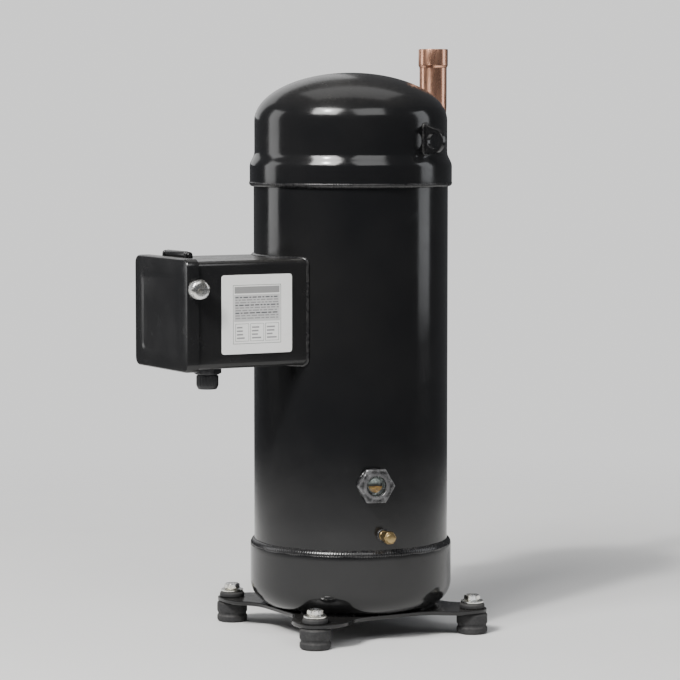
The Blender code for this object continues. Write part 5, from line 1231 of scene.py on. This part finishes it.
def make_box_contents():
    """What shows when the cover is open: nuts on the pins, the moulded module, and an earth screw."""
    place, base, hexed = point_out(math.pi, TERMINAL_Z), SHELL_R + 21 * MM, hexagon(10 * MM)
    washer = profile(base, (3.5, 0.2), (7, 0.2), (7, 1.4), (3.5, 1.4))
    nut = profile(base, (3.5, 1.7), (4.8, 1.7), (5.8, 2.3, hexed), (5.8, 5.9, hexed), (4.8, 6.5), (3.5, 6.5))
    bm = bmesh.new()
    for i in range(3):
        spot = place @ about(radial(TURN * i / 3) * 13 * MM)
        turn(bm, washer, 40, spot)
        turn(bm, nut, 48, spot)
    finish_piece("terminal_nuts", bm, "brass")

    lowest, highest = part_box("motor_protector")
    size, centre = highest - lowest, (lowest + highest) / 2
    loops = []
    for inset, depth in ((0, 0), (0, 0.62), (1.2, 0.66), (1.2, 0.94), (2.0, 1.0)):
        ring = rounded_rectangle(size.y / 2 - inset * MM, size.z / 2 - inset * MM, 3 * MM, 6)
        loops.append([(highest.x - size.x * depth, centre.y + y, centre.z + z) for y, z in ring])
    lofted("protector_module", loops, "black_plastic", node="motor_protector")

    facing = turn_about(-QUARTER, "Y")
    bm = bmesh.new()
    for k in range(6):
        spot = Vector((lowest.x + 0.3 * MM, lowest.y + 6.5 * MM, centre.z + (k - 2.5) * 13 * MM))
        turn(bm, profile(0, (0, -1), (3.4, -1), (3.4, 0.5), (2.8, 1), (0, 1)), 32, about(spot) @ facing)
    finish_piece("protector_screws", bm, "zinc_steel")

    bm = bmesh.new()
    half = Vector((10 * MM, size.z / 2 - 8 * MM, 0))
    place = about(Vector((lowest.x, centre.y, centre.z))) @ facing @ turn_about(QUARTER, "Z")
    slab(bm, -half, half + UP * 0.2 * MM, 0.05 * MM, place)
    finish_piece("protector_label", bm, "label_stock")

    hexed = hexagon(8 * MM)
    stud = profile(0, (0, -1), (5.4, -1), (5.4, 0.9), (4, 1), (4.7, 1.5, hexed), (4.7, 4.6, hexed))
    stud += profile(0, (3.8, 5.2), (2.2, 5.2), (2.2, 9), (0, 9.4))
    spot = Vector((AXIS.x - SHELL_R - 9.5 * MM, AXIS.y - 44 * MM, TERMINAL_Z - 40 * MM))
    turned("earth_stud", stud, "brass", 48, about(spot) @ facing)


# -------------------------------------------------------------------------------------------- studio


def make_studio():
    """A round floor, and a backdrop that only the camera sees, as its light would grey the black paint."""
    bm = bmesh.new()
    steps = 96
    rows = []
    for radius in (0.5, 1.0, FLOOR_R):
        rows.append([bm.verts.new((AXIS.x + x, AXIS.y + y, 0)) for x, y in arc(radius, 0, TURN, steps)[:-1]])
    bm.faces.new(rows[0])
    for a, b in zip(rows, rows[1:]):
        for i in range(steps):
            j = (i + 1) % steps
            bm.faces.new((a[i], a[j], b[j], b[i]))
    floor = new_object("floor", bm)
    floor.data.materials.append(concrete("floor"))
    smooth(floor.data)

    world = bpy.data.worlds.new("studio")
    bpy.context.scene.world = world
    world.use_nodes = True
    tree = world.node_tree
    background = tree.nodes["Background"]
    path = tree.nodes.new("ShaderNodeLightPath")
    mix = tree.nodes.new("ShaderNodeMix")
    mix.data_type = "RGBA"
    mix.inputs[6].default_value = (*ROOM_LIGHT, 1)
    mix.inputs[7].default_value = (*BACKDROP, 1)
    tree.links.new(path.outputs["Is Camera Ray"], mix.inputs[0])
    tree.links.new(mix.outputs[2], background.inputs["Color"])
    background.inputs["Strength"].default_value = 1.0


def from_object(azimuth, elevation):
    """The way from the object to something at that azimuth and elevation. Azimuths are as for the views."""
    a, e = math.radians(azimuth), math.radians(elevation)
    return Vector((math.sin(a) * math.cos(e), -math.cos(a) * math.cos(e), math.sin(e)))


def add_light(name, kind, azimuth, elevation, distance, target_z, power, colour, **settings):
    """A light that the camera doesn't see, facing a point on the crank axis."""
    light = bpy.data.lights.new(name, kind)
    light.energy = power
    light.color = colour
    for key, value in settings.items():
        setattr(light, key, value)
    out = from_object(azimuth, elevation)
    obj = bpy.data.objects.new(name, light)
    bpy.context.scene.collection.objects.link(obj)
    obj.visible_camera = False
    obj.location = AXIS + UP * target_z + out * distance
    obj.rotation_euler = (-out).to_track_quat("-Z", "Y").to_euler()


def area_light(name, azimuth, elevation, distance, size, power, colour=(1, 1, 1)):
    settings = {"shape": "RECTANGLE", "size": size[0], "size_y": size[1]}
    add_light(name, "AREA", azimuth, elevation, distance, LIT_HEIGHT, power, colour, **settings)


def make_lights():
    """The sun and the key make the highlights on the dome and the joggle. The rest only shape the shell."""
    add_light("sun", "SUN", -63, 44, 3, 0, 1.7, (1.0, 0.985, 0.96), angle=math.radians(5))
    area_light("key", -63, 43, 4.0, (1.9, 1.6), 205, (1.0, 0.99, 0.97))
    area_light("front_fill", -4, 42, 3.6, (2.0, 1.6), 32)
    area_light("right_side", 66, 14, 3.0, (1.0, 1.9), 13, (0.95, 0.97, 1.0))
    area_light("left_side", -132, 14, 3.0, (1.0, 1.9), 15)
    area_light("rear", 172, 22, 3.2, (2.2, 1.8), 12)
    area_light("overhead", 150, 72, 3.6, (3.0, 2.0), 16)


def make_camera():
    """Centres what lies between the cover's knob and the far side of the feet."""
    camera = bpy.data.cameras.new("camera")
    camera.lens = LENS
    camera.sensor_width = SENSOR
    camera.clip_end = 100
    obj = bpy.data.objects.new("camera", camera)
    bpy.context.scene.collection.objects.link(obj)
    back = from_object(CAMERA_AZIMUTH, CAMERA_ELEVATION)
    rotation = (-back).to_track_quat("-Z", "Y")
    right = rotation @ Vector((1, 0, 0))
    lowest, highest = CAD_BOX
    centre = (lowest + highest) / 2
    knob = Vector((SCREW_X, low("cover_screw").y, centre.z))
    left_end = (knob - centre).dot(right) - 12 * MM
    right_end = (AXIS - centre).dot(right) + 160 * MM
    centre += right * (left_end + right_end) / 2
    distance = (highest.z - lowest.z) / HEIGHT_SHARE * LENS / SENSOR
    obj.location = centre + back * distance
    obj.rotation_mode = "QUATERNION"
    obj.rotation_quaternion = rotation
    bpy.context.scene.camera = obj


make_camera()
make_studio()
make_lights()
dress_cad_nodes()
make_vessel()
make_lugs()
make_plate()
make_feet()
make_discharge()
make_suction()
make_sight_glass()
make_oil_valve()
make_terminal_box()
make_cover()
make_cover_knob()
make_gland()
make_label()
make_box_contents()
